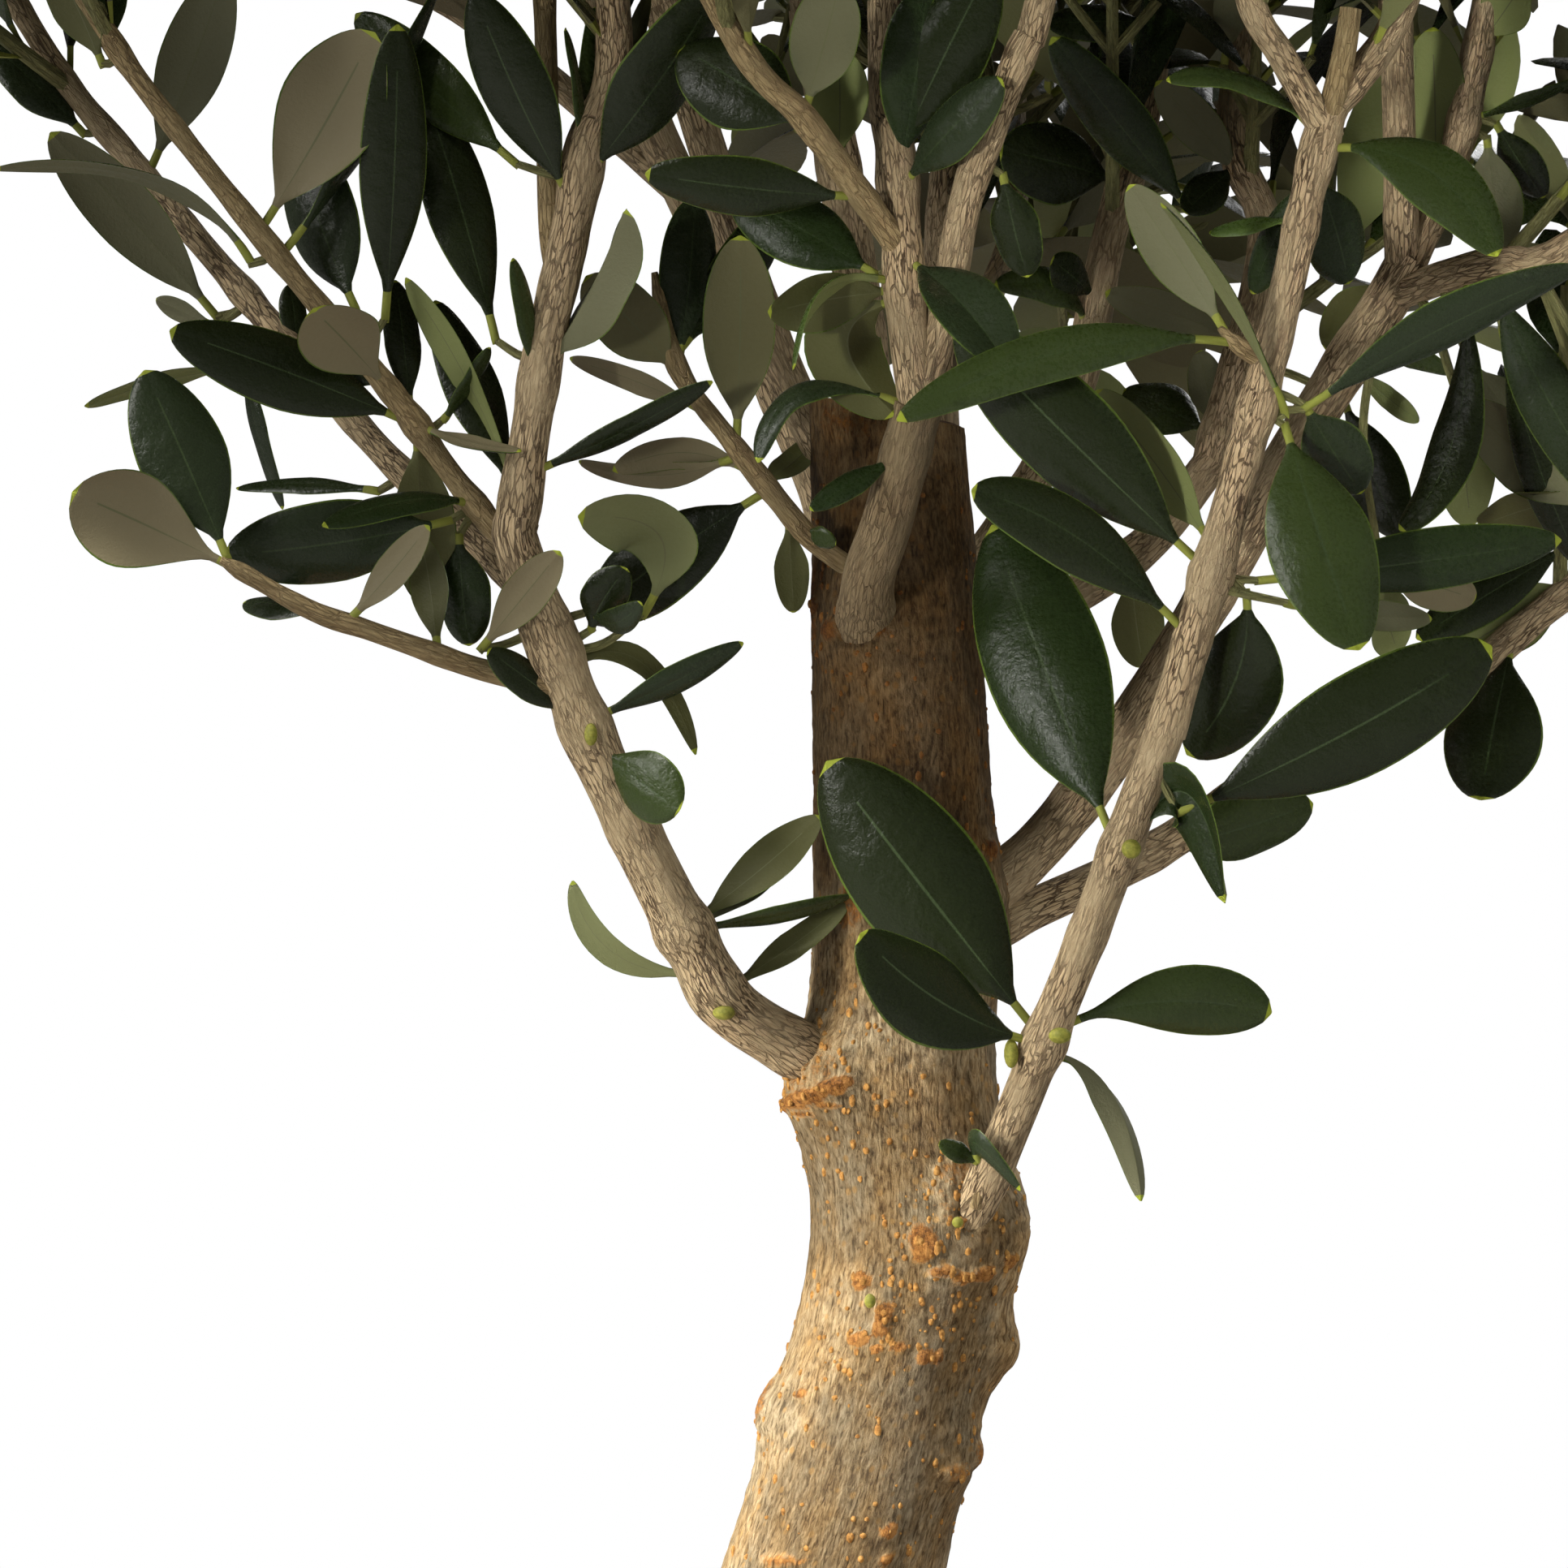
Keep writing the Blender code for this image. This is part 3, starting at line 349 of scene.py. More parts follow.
# Leaves that the photograph shows: the limb that bears each, the pixels where its root and tip show,
# its width, how much further back its tip lies than its root, and how far its upper face turns away
# from the camera in degrees. A via pixel is one that a bent rib passes halfway. Bow is how far the rib
# arches, in lengths of the leaf, fold how far its halves stand up, belly where it's widest.
Leaf = namedtuple(
    "Leaf", "limb root tip width back roll tint via bow fold belly twist",
    defaults=("dark", None, 0.05, -8, 0.5, 0),
)
R_FRONT = "foliage_right_front"
R_BOUGH = "bough_right_front"
L_INNER = "foliage_left_inner"
L_OUTER = "foliage_left_outer"
L_REAR = "foliage_left_rear"
L_LOW = "foliage_left_low"
L_BOUGH = "bough_left"
D_SHOOT = "foliage_shoot_left"
C_BOUGH = "bough_front"
C_MAIN = "foliage_front_middle"
C_LEFT = "foliage_front_left"
C_RIGHT = "foliage_front_right"
B_MAIN = "bough_right_rear"
B_UP = "foliage_right_rear"
B_OUT = "foliage_right_outer"
B_LOW = "foliage_right_low"
E_LOW = "foliage_back_right"
E_HIGH = "foliage_back_upper"
LEAVES = {
    # on the right front bough
    "large_front": Leaf(R_BOUGH, (1264, 1275), (1018, 938), 0.0202, 0.006, -4, "deep", bow=0.06, fold=-14),
    "large_front_mate": Leaf(R_BOUGH, (1260, 1282), (1060, 1150), 0.014, -0.012, 24, "deep",
        via=(1150, 1235)),
    "low_right": Leaf(R_BOUGH, (1305, 1275), (1567, 1248), 0.0108, 0.002, 10, "green", via=(1425, 1232),
        belly=0.64),
    "hanging": Leaf(R_BOUGH, (1308, 1298), (1406, 1480), 0.0064, 0.0, 124, "grey", via=(1374, 1342),
        twist=70, fold=34),
    "bud_a": Leaf("right_bud", (1206, 1436), (1157, 1408), 0.0032, -0.003, 20, "green"),
    "bud_b": Leaf("right_bud", (1206, 1430), (1257, 1467), 0.004, -0.006, 40, "grey", via=(1205, 1408)),
    "folded": Leaf(R_BOUGH, (1396, 1045), (1510, 1113), 0.0116, -0.008, 34, "dark", via=(1466, 975),
        fold=24, twist=50),
    "glossy": Leaf(R_BOUGH, (1362, 1045), (1222, 647), 0.0186, 0.029, -10, "dark", bow=0.04, fold=-10),
    "notched": Leaf(R_FRONT, (1446, 1004), (1838, 796), 0.0154, -0.004, 8, "deep", via=(1655, 902),
        bow=0.05),
    "arched_dark": Leaf(R_FRONT, (1457, 775), (1197, 604), 0.0105, -0.01, 14, "deep", via=(1322, 664)),
    "long_dark": Leaf(R_FRONT, (1480, 700), (1179, 400), 0.015, 0.0, -12, "deep"),
    "pale_behind": Leaf(R_FRONT, (1492, 676), (1351, 481), 0.009, 0.01, 150, "fresh"),
    "across": Leaf("right_side", (1510, 425), (1105, 518), 0.0078, -0.01, 12, "green", via=(1311, 438)),
    "raised_back": Leaf("right_side", (1504, 418), (1391, 228), 0.0086, 0.006, 164, "grey"),
    "raised_narrow": Leaf(R_FRONT, (1586, 515), (1431, 250), 0.0052, -0.024, 112, "sage", via=(1500, 368)),
    "drooping": Leaf(R_FRONT, (1582, 520), (1675, 801), 0.0156, -0.012, -8, "green", via=(1622, 660),
        bow=0.08),
    "behind_drooping": Leaf(R_FRONT, (1606, 496), (1678, 608), 0.0098, 0.008, 20, "grey"),
    "rising_right": Leaf(R_FRONT, (1602, 507), (1945, 330), 0.0084, -0.004, 36, "grey", via=(1765, 398)),
    "level_right": Leaf(R_FRONT, (1545, 716), (1924, 666), 0.0092, 0.006, 10, "dark"),
    "under_right": Leaf(R_FRONT, (1535, 725), (1462, 930), 0.0138, 0.012, 20, "deep", via=(1528, 830)),
    "level_pale": Leaf(R_FRONT, (1580, 742), (1764, 762), 0.006, 0.016, 140, "grey"),
    "node_right": Leaf(R_FRONT, (1638, 186), (1845, 316), 0.0104, -0.008, -20, "green", via=(1758, 214)),
    "node_left": Leaf(R_FRONT, (1604, 150), (1437, 99), 0.0052, -0.004, 50, "green", via=(1530, 106)),
    "node_down": Leaf(R_FRONT, (1600, 205), (1542, 362), 0.0064, 0.01, 30, "dark"),
    "node_behind": Leaf(R_FRONT, (1640, 210), (1662, 350), 0.01, 0.012, -20, "dark"),
    "thin_left": Leaf(R_FRONT, (1585, 262), (1490, 286), 0.0048, 0.006, 60, "fresh"),
    # on the rear right boughs
    "yellow_rear": Leaf("bough_right_far", (1430, 1078), (1618, 990), 0.0108, 0.006, 20, "olive"),
    "tip_behind": Leaf(B_MAIN, (1330, 985), (1184, 737), 0.0085, 0.01, 50, "fresh"),
    "below_rear": Leaf("bough_back_right", (1400, 705), (1408, 823), 0.0086, 0.004, 160, "olive"),
    "end_round": Leaf(B_LOW, (1856, 770), (1824, 986), 0.015, -0.012, 14, "deep", belly=0.54),
    "black_low": Leaf(B_LOW, (1936, 672), (1745, 787), 0.0078, -0.006, 10, "deep"),
    "light_low": Leaf(B_LOW, (1956, 722), (1800, 800), 0.01, -0.004, 168, "fresh"),
    "olive_low": Leaf(B_MAIN, (1702, 715), (1722, 806), 0.008, 0.02, 170, "fresh"),
    "black_right": Leaf(B_OUT, (1812, 352), (1724, 653), 0.0084, -0.006, 34, "deep", via=(1800, 540)),
    "ribbed_right": Leaf(B_OUT, (1836, 356), (2004, 640), 0.0098, -0.008, 12, "grey", via=(1908, 488)),
    "ribbed_behind": Leaf(B_OUT, (1850, 400), (1950, 700), 0.0074, 0.004, 20, "deep", via=(1896, 560)),
    "black_inner": Leaf(E_LOW, (1655, 490), (1726, 662), 0.0094, -0.01, 16, "deep"),
    "narrow_inner": Leaf(B_MAIN, (1690, 440), (1788, 461), 0.004, -0.004, 30, "green", via=(1740, 438)),
    "yellow_inner": Leaf(B_MAIN, (1690, 470), (1748, 520), 0.004, 0.004, 150, "fresh"),
    "grey_inner": Leaf(B_OUT, (1808, 440), (1930, 596), 0.01, 0.01, 164, "grey"),
    "pale_up": Leaf(B_UP, (1832, 166), (1850, 308), 0.0086, -0.004, 168, "grey"),
    "pale_tall": Leaf(B_UP, (1775, 255), (1765, 34), 0.01, 0.004, 166, "fresh"),
    "pale_top": Leaf(B_UP, (1812, 60), (1880, -24), 0.008, -0.004, 168, "fresh"),
    "black_top": Leaf(B_UP, (1842, 150), (1902, 244), 0.0064, 0.006, 20, "deep"),
    "edge_top": Leaf(B_UP, (1832, 148), (1945, 98), 0.0044, -0.002, 64, "green"),
    "mid_olive": Leaf(B_MAIN, (1712, 322), (1634, 432), 0.01, 0.006, 168, "olive"),
    "rear_fresh": Leaf(B_OUT, (1800, 500), (1812, 648), 0.009, 0.012, 168, "fresh"),
    "rear_grey": Leaf(B_OUT, (1960, 640), (1806, 500), 0.011, 0.012, 168, "grey"),
    "rear_grey_low": Leaf(B_OUT, (1968, 606), (1822, 646), 0.008, 0.016, 160, "olive"),
    "rear_low_pale": Leaf(B_OUT, (1700, 700), (1818, 738), 0.0074, 0.016, 160, "taupe"),
    "low_rear_a": Leaf(E_LOW, (1500, 540), (1385, 480), 0.01, 0.006, 30, "olive"),
    "low_rear_b": Leaf(E_LOW, (1515, 545), (1478, 432), 0.006, 0.006, 160, "grey"),
    "rear_black_a": Leaf(E_LOW, (1530, 205), (1459, 262), 0.0064, -0.006, 10, "deep"),
    "rear_level": Leaf(E_LOW, (1545, 419), (1362, 360), 0.0064, -0.01, 160, "grey"),
    "rear_pair": Leaf(E_LOW, (1516, 238), (1425, 100), 0.0072, -0.01, 168, "grey"),
    "rear_large": Leaf(E_HIGH, (1470, 262), (1296, 46), 0.0092, -0.02, -4, "dark"),
    "rear_black_b": Leaf(E_HIGH, (1390, 225), (1232, 184), 0.013, -0.01, 12, "deep"),
    "rear_black_c": Leaf(E_HIGH, (1400, 22), (1290, 30), 0.0064, -0.01, 20, "deep"),
    "rear_arch": Leaf(E_HIGH, (1350, 410), (1225, 352), 0.006, -0.01, 30, "olive", via=(1300, 356)),
    "rear_dot": Leaf(E_HIGH, (1360, 372), (1296, 320), 0.0066, -0.01, 14, "deep"),
    # on the front bough and its fork
    "fork_cup": Leaf(C_MAIN, (1120, 318), (1246, 458), 0.0114, -0.014, -26, "grey", bow=0.12, fold=20),
    "fork_down": Leaf(C_MAIN, (1106, 350), (1104, 512), 0.013, 0.004, 160, "olive", via=(1046, 420),
        fold=24),
    "fork_left": Leaf(C_MAIN, (1106, 352), (946, 384), 0.0095, -0.006, 150, "olive"),
    "fork_arc": Leaf(C_MAIN, (1108, 346), (977, 456), 0.006, -0.012, 104, "fresh", via=(1020, 364)),
    "over_trunk": Leaf(C_BOUGH, (1088, 487), (934, 570), 0.006, -0.006, 60, "grey", via=(992, 488)),
    "on_trunk": Leaf(C_BOUGH, (1088, 553), (998, 628), 0.004, -0.006, 20, "dark"),
    "glossy_up": Leaf(C_MAIN, (1088, 232), (1235, 98), 0.0088, -0.014, -24, "grey"),
    "tall_a": Leaf(C_MAIN, (1090, 226), (1142, -20), 0.0108, -0.004, 16, "dark"),
    "tall_b": Leaf(C_MAIN, (1120, 200), (1222, -44), 0.012, -0.008, -12, "deep"),
    "small_black": Leaf(C_RIGHT, (1235, 212), (1266, 342), 0.0076, 0.002, 20, "deep"),
    "left_dark": Leaf(C_LEFT, (1046, 250), (795, 214), 0.0088, -0.008, -14, "deep", bow=0.08),
    "left_under_up": Leaf(C_LEFT, (1000, 132), (1036, -24), 0.0108, -0.004, 166, "grey"),
    "left_bright": Leaf(C_LEFT, (1046, 190), (1034, 62), 0.009, 0.014, 168, "fresh"),
    "left_rear": Leaf(C_LEFT, (1085, 342), (902, 238), 0.0112, 0.012, 20, "dark"),
    "left_top": Leaf(C_LEFT, (990, 182), (838, 58), 0.014, 0.01, 8, "deep"),
    # on the small shoot left of the trunk
    "shoot_black": Leaf(D_SHOOT, (934, 612), (724, 764), 0.0124, 0.008, 12, "deep", bow=0.1),
    "shoot_arched": Leaf(D_SHOOT, (926, 586), (755, 580), 0.0056, 0.002, 150, "taupe", via=(842, 560)),
    "shoot_arched_rear": Leaf(D_SHOOT, (905, 566), (713, 568), 0.0048, 0.01, 140, "taupe", via=(808, 590)),
    "shoot_edge": Leaf(D_SHOOT, (868, 520), (702, 441), 0.0044, 0.006, 140, "taupe"),
    "shoot_broad": Leaf(D_SHOOT, (907, 545), (912, 290), 0.0112, -0.006, 166, "dark"),
    "shoot_left_a": Leaf(D_SHOOT, (834, 462), (722, 340), 0.0106, -0.006, 164, "dark"),
    "shoot_left_b": Leaf(D_SHOOT, (832, 448), (856, 243), 0.0092, 0.004, 20, "grey"),
    "shoot_right": Leaf(D_SHOOT, (836, 440), (966, 250), 0.0086, 0.01, 24, "deep"),
    "shoot_foot": Leaf(D_SHOOT, (1002, 645), (1030, 670), 0.0034, -0.003, 30, "green"),
    "shoot_down": Leaf(D_SHOOT, (966, 640), (978, 755), 0.0054, 0.004, 166, "olive", belly=0.55),
    "behind_trunk": Leaf(D_SHOOT, (940, 590), (1010, 536), 0.005, 0.034, 150, "fresh"),
    # on the left bough
    "pair_left": Leaf(L_BOUGH, (716, 888), (601, 801), 0.0058, -0.006, 20, "deep", bow=0.02),
    "pair_right": Leaf(L_BOUGH, (722, 886), (916, 792), 0.0048, -0.002, 30, "grey"),
    "arched_thin": Leaf(L_BOUGH, (712, 806), (857, 930), 0.005, 0.004, 136, "olive", via=(792, 812)),
    "curled": Leaf(L_BOUGH, (790, 762), (712, 636), 0.0132, -0.012, 168, "sage", via=(812, 664),
        belly=0.54),
    "curled_base": Leaf(L_BOUGH, (728, 778), (772, 700), 0.007, -0.006, 14, "deep", via=(742, 740)),
    "curled_hem": Leaf(L_BOUGH, (730, 752), (790, 742), 0.0044, -0.01, 20, "grey", via=(758, 766)),
    "round_small": Leaf(L_BOUGH, (720, 922), (838, 998), 0.0104, -0.01, 20, "green", belly=0.56),
    "inner_broad": Leaf(L_BOUGH, (875, 1133), (1012, 1006), 0.007, 0.002, 156, "olive"),
    "inner_thin": Leaf(L_BOUGH, (882, 1130), (964, 1074), 0.0034, 0.006, 130, "grey"),
    "inner_level": Leaf(L_BOUGH, (884, 1128), (1050, 1104), 0.0036, 0.002, 44, "olive"),
    "inner_low": Leaf(L_BOUGH, (915, 1205), (1046, 1112), 0.0048, 0.004, 152, "olive"),
    "outer_thin": Leaf(L_BOUGH, (850, 1230), (706, 1085), 0.0054, 0.002, 142, "sage", via=(752, 1176)),
    "crossing": Leaf(L_BOUGH, (590, 803), (690, 679), 0.0066, -0.018, 156, "taupe"),
    # on the low left shoot
    "end_round_pale": Leaf(L_LOW, (286, 706), (89, 606), 0.0148, -0.004, 168, "taupe", belly=0.62),
    "end_marked": Leaf(L_LOW, (288, 700), (178, 456), 0.0132, 0.004, 8, "grey"),
    "low_small": Leaf(L_LOW, (432, 764), (529, 648), 0.0056, -0.006, 158, "taupe"),
    "low_hanging": Leaf(L_LOW, (400, 748), (300, 742), 0.006, 0.01, 50, "grey"),
    "low_upright": Leaf(L_LOW, (545, 792), (520, 662), 0.006, 0.006, 160, "olive"),
    # on the outer left bough
    "node_round": Leaf(L_OUTER, (560, 640), (277, 684), 0.0126, -0.006, -14, "grey", bow=0.1),
    "node_thin": Leaf(L_OUTER, (572, 624), (397, 648), 0.0056, -0.012, 44, "dark", via=(500, 624)),
    "node_drop": Leaf(L_OUTER, (566, 655), (578, 796), 0.0084, 0.002, 20, "dark"),
    "long_low": Leaf(L_OUTER, (498, 530), (209, 407), 0.0112, -0.006, 14, "deep"),
    "short_right": Leaf(L_OUTER, (504, 528), (642, 557), 0.0042, -0.01, 120, "taupe"),
    "round_under": Leaf(L_OUTER, (480, 478), (386, 380), 0.0122, -0.014, 168, "taupe", belly=0.6),
    "gloss_behind": Leaf(L_OUTER, (476, 486), (392, 424), 0.0076, 0.006, 16, "grey"),
    "large_under": Leaf(L_OUTER, (317, 290), (462, 40), 0.016, -0.004, 166, "taupe", belly=0.55),
    "large_mate": Leaf(L_OUTER, (350, 308), (540, -14), 0.0076, 0.004, 62, "grey"),
    "gloss_front": Leaf(L_OUTER, (440, 384), (366, 178), 0.0124, 0.006, -28, "grey", bow=0.06),
    "black_tall": Leaf(L_OUTER, (474, 398), (490, 30), 0.01, -0.01, 14, "deep"),
    "edge_long": Leaf(L_OUTER, (312, 328), (-10, 208), 0.0044, -0.01, 118, "grey", via=(188, 236)),
    "top_left_a": Leaf(L_OUTER, (128, 84), (60, -60), 0.008, -0.004, 150, "olive"),
    "top_left_b": Leaf(L_OUTER, (135, 80), (90, -70), 0.01, 0.008, 20, "dark"),
    "behind_mid": Leaf(L_OUTER, (506, 536), (530, 750), 0.01, 0.008, 164, "green"),
    # on the rear left bough
    "rear_under_a": Leaf(L_REAR, (270, 394), (62, 163), 0.0102, -0.01, 164, "grey"),
    "rear_tall": Leaf(L_REAR, (179, 226), (280, -40), 0.0108, -0.004, 164, "grey"),
    "rear_left_top": Leaf(L_REAR, (106, 168), (-12, 54), 0.0076, 0.006, 24, "grey"),
    "rear_small": Leaf(L_REAR, (262, 402), (192, 369), 0.004, 0.004, 150, "grey"),
    "rear_narrow": Leaf(L_REAR, (300, 430), (348, 628), 0.0044, 0.002, 54, "grey"),
    "rear_edge": Leaf(L_REAR, (300, 450), (104, 500), 0.0044, -0.01, 124, "fresh"),
    "rear_level_low": Leaf(L_REAR, (470, 606), (291, 601), 0.0036, 0.01, 50, "dark"),
    "rear_black": Leaf(L_REAR, (368, 436), (357, 350), 0.0044, 0.002, 20, "deep"),
    # on the inner left bough
    "black_rear": Leaf(L_INNER, (612, 424), (524, 116), 0.01, 0.006, 16, "deep"),
    "green_rear": Leaf(L_INNER, (640, 205), (438, 17), 0.0094, 0.012, -12, "green"),
    "dark_top": Leaf(L_INNER, (688, 248), (584, -10), 0.0108, -0.008, -18, "deep", bow=0.07),
    "twisted_top": Leaf(L_INNER, (732, 236), (888, -20), 0.0128, -0.008, 30, "deep", twist=40),
    "under_top": Leaf(L_INNER, (738, 226), (800, -10), 0.0044, 0.006, 150, "olive"),
    "behind_top": Leaf(L_INNER, (700, 185), (736, 8), 0.0056, 0.008, 40, "green"),
    "edge_top_left": Leaf(L_INNER, (696, 192), (697, 34), 0.003, -0.004, 60, "green"),
    "edge_black": Leaf(L_INNER, (662, 340), (668, 226), 0.0036, 0.004, 40, "deep"),
    "small_thin": Leaf(L_INNER, (635, 474), (632, 318), 0.0046, -0.006, 50, "green"),
    "fold_right": Leaf(L_INNER, (684, 470), (772, 258), 0.0128, -0.01, 128, "grey", fold=34),
    "mid_black_a": Leaf(L_INNER, (611, 618), (536, 370), 0.0084, 0.008, 20, "deep"),
    "mid_fresh": Leaf(L_INNER, (606, 610), (500, 342), 0.0062, 0.0, 130, "fresh"),
    "mid_black_b": Leaf(L_OUTER, (524, 506), (487, 345), 0.0056, 0.006, 14, "deep"),
    "edge_out": Leaf(L_INNER, (674, 592), (878, 470), 0.0042, -0.006, 30, "deep"),
    "mid_green": Leaf(L_OUTER, (544, 520), (604, 428), 0.0034, -0.004, 50, "green"),
}

# Scars and cork on the trunk's front: the pixel of the middle, half its width and height in pixels,
# how far it stands out, and how much of the bark's colour turns to cork
Scar = namedtuple("Scar", "x y half_width half_height stand cork")
SCARS = (
    # round the foot of the left bough
    Scar(1024, 1316, 42, 50, 0.0009, 0.25),
    Scar(1021, 1322, 17, 19, 0.0008, 0.35),
    Scar(1021, 1322, 8, 9, -0.0026, 1.0),
    Scar(1042, 1319, 5, 9, -0.0009, 0.5),
    Scar(1026, 1294, 9, 8, 0.0009, 0.9),
    Scar(1006, 1364, 13, 10, 0.0012, 1.0),
    Scar(1018, 1358, 15, 10, 0.0016, 1.0),
    Scar(1033, 1349, 15, 10, 0.0016, 1.0),
    Scar(1047, 1339, 13, 9, 0.0014, 1.0),
    Scar(1058, 1331, 8, 7, 0.0012, 1.0),
    Scar(1020, 1373, 14, 4, 0.0007, 0.7),
    Scar(1040, 1362, 14, 4, 0.0007, 0.7),
    # round the foot of the right front bough
    Scar(1168, 1444, 24, 22, 0.001, 0.3),
    Scar(1158, 1478, 14, 34, 0.0011, 0.25),
    Scar(1179, 1474, 3, 34, -0.0011, 0.6),
    Scar(1182, 1507, 6, 7, -0.0018, 0.6),
    Scar(1178, 1502, 5, 4, 0.0009, 0.9),
    Scar(1137, 1532, 17, 22, 0.0012, 1.0),
    Scar(1158, 1566, 15, 10, 0.0011, 0.8),
    Scar(1178, 1574, 15, 9, 0.0012, 0.8),
    Scar(1200, 1570, 15, 9, 0.0012, 0.9),
    Scar(1220, 1556, 12, 10, 0.001, 0.7),
    # the bud and the corky patches below it
    Scar(1063, 1577, 12, 10, 0.0008, 1.0),
    Scar(1073, 1602, 8, 8, 0.0012, 0.2),
    Scar(1090, 1618, 13, 13, 0.0012, 0.9),
    Scar(1086, 1638, 12, 9, 0.001, 0.9),
    Scar(1060, 1649, 13, 8, 0.0009, 1.0),
    Scar(1080, 1662, 8, 6, 0.0007, 1.0),
    Scar(1106, 1660, 10, 6, 0.0007, 1.0),
    Scar(1138, 1671, 9, 10, 0.0008, 1.0),
    Scar(1156, 1673, 9, 10, 0.0008, 1.0),
    # up the trunk
    Scar(1035, 528, 48, 24, 0.0005, 0.34),
    Scar(1006, 742, 12, 44, 0.0008, 0.8),
    Scar(1030, 775, 20, 12, 0.0009, 0.6),
    Scar(1070, 776, 30, 9, 0.001, 0.7),
    Scar(1050, 1112, 18, 36, 0.0006, 0.55),
    Scar(1216, 1046, 20, 12, 0.0009, 0.8),
    # down the trunk
    Scar(1192, 1796, 15, 18, 0.001, 0.6),
    Scar(1170, 1815, 22, 12, 0.0007, 0.4),
    Scar(946, 1730, 12, 26, 0.001, 0.6),
    Scar(962, 1922, 30, 8, 0.0007, 0.6),
    Scar(1094, 1886, 10, 10, 0.0009, 1.0),
    Scar(1090, 1921, 9, 8, 0.0008, 0.9),
    Scar(990, 1718, 9, 7, 0.0006, 0.8),
)

# Green buds and cut stalks: the node that each stands on, the pixel and the depth of its middle, and
# half its width and height in pixels
Bud = namedtuple("Bud", "node x y depth half_width half_height")
BUDS = (
    Bud("bough_left", 892, 1248, -0.0185, 14, 9),
    Bud("bough_left", 728, 905, -0.0265, 8, 14),
    Bud("trunk", 1072, 1603, -0.0165, 7, 9),
    Bud("trunk", 1180, 1506, -0.019, 7, 7),
    Bud("bough_right_front", 1215, 1462, -0.0155, 8, 15),
    Bud("bough_right_front", 1246, 1298, -0.029, 9, 18),
    Bud("bough_right_front", 1306, 1276, -0.0375, 14, 10),
    Bud("bough_right_front", 1394, 1046, -0.0425, 12, 12),
)

# The trunk's relief: how far each kind of roughness reaches, and the size of its grain across and
# along the trunk
TRUNK_SIDES = 150
TRUNK_RINGS = 500
RELIEFS = (
    (0.0001, 0.0009, 0.0028),
    (0.00012, 0.0036, 0.008),
    (0.0001, 0.001, 0.0014),
    (0.0006, 0.017, 0.023),
)
WRINKLE = 0.00032  # fine folds across the bark, by the swellings
WRINKLE_GRAIN = (0.006, 0.0011)
WRINKLE_REACH = 1.5  # in reaches of the swelling
SCAR_GRAIN = 0.0011
SCAR_DEPTH = -0.013
SCAR_RAGGED = 0.4
WEATHER_AND_SHADE_HEIGHTS = (0.412, 0.452)  # heights between which the bark turns dark: mostly painted shade of the crown, partly the bark's own darker colour
LENTICELS = 1000
LENTICEL_SIZES = (0.00018, 0.00058)
LENTICELS_BY_SCARS = 0.35
LENTICEL_MARGINS = (0.006, 0.012)  # clear of the soil and of the top
SCAR_SCATTER = (0.35, 0.006)  # how far they lie from a scar, round the trunk in radians and up it
WART_SIDES = 7
WART_RINGS = ((1.0, -0.3), (0.8, 0.32), (0.35, 0.55))  # each ring's radius and rise
WART_STRETCH = (0.7, 1.9)  # how much taller than wide
WART_UNEVEN = (0.8, 1.2)
BUD_SIDES = 14
BUD_END_TURN = 0.04  # how near to its poles a bud's outline begins, in radians
CUT_RINGS = (0.93, 0.75, 0.5, 0.2)
CUT_ROUGHNESS = 0.00045
CUT_GRAIN = 0.0012
CUT_PROUD = 0.0006

# Limbs
LIMB_SIDES = 30
LIMB_STEP = 0.0011
LIMB_FURROW = 0.02  # share of the radius
LIMB_GRAIN = (0.001, 0.0075)
LIMB_KNOBS = (0.005, 0.013)
STEM_FURROW = 0.7 * LIMB_FURROW
STEM_SIDES = 22
SLIM_SIDES = 12  # of limbs that are no thicker at the foot than this
SLIM_RADIUS = 0.0015
BOUGH_NODES = 0.024  # how far apart the nodes of boughs and of stems are
STEM_NODES = 0.022
NODE_SWELL = 0.00024
NODE_REACH = 0.0026
NODE_SWELL_RADIUS = 0.004  # the foot radius of a limb whose nodes swell by this much
LIMB_LAP = 0.0018  # how far a limb's bark goes on into what bears it
BUD_LENGTH = 0.004
BUD_TIP = 0.15  # share of the bud's section that is left at its tip
PALE_RADIUS = 0.0021  # stems that are thicker than this at the foot have the boughs' pale bark
STALK_RADII = (0.00085, 0.00062)  # of a stalk or short spur that carries a leaf off its limb
STALK_BEND = 0.12
STALK_LAP = 0.0008
STALK_STEP = 0.0012
STALK_FROM = 1.6  # a leaf that starts further off than this many radii gets a stalk
TWIG_SIDES = 6
TWIG_ROUTE_STEP = 0.009

# A leaf's stations along its rib and columns on each side, by how close it is seen
NEAR_GRID = (25, (0.0, 0.022, 0.33, 0.66, 0.965, 1.0))
MIDDLE_GRID = (13, (0.0, 0.6, 1.0))
FAR_GRID = (8, (0.0, 1.0))
STATIONS_EVEN = 0.45  # stations stand partly at even steps and partly closer at the ends
STATIONS_AT_ENDS = 0.275
STALK_SHARE = 0.12
STALK_COLOURED = 1.1 * STALK_SHARE
BLADE_FROM = 0.6 * STALK_SHARE  # where along it a leaf starts to be a blade, and over what share
BLADE_GROWS_OVER = 1.2 * STALK_SHARE
STALK_HALF_WIDTH = 0.00064
STALK_THICKNESS = 0.0013
BLADE_THICKNESS = 0.00042
RIB_DEPTH = 0.00022
RIB_HALF_WIDTH = 0.00045
RIB_END = 0.88
FOLD_STEEPNESS = 1.3
EDGE_CURL = 0.1
BASE_FULLNESS = 0.95
TIP_FULLNESS = 0.56
TIP_HALF_WIDTH = 0.00018
MATERIAL_ROWS = ("stalk", "edge", "rib_top", "rib_under", "tip")

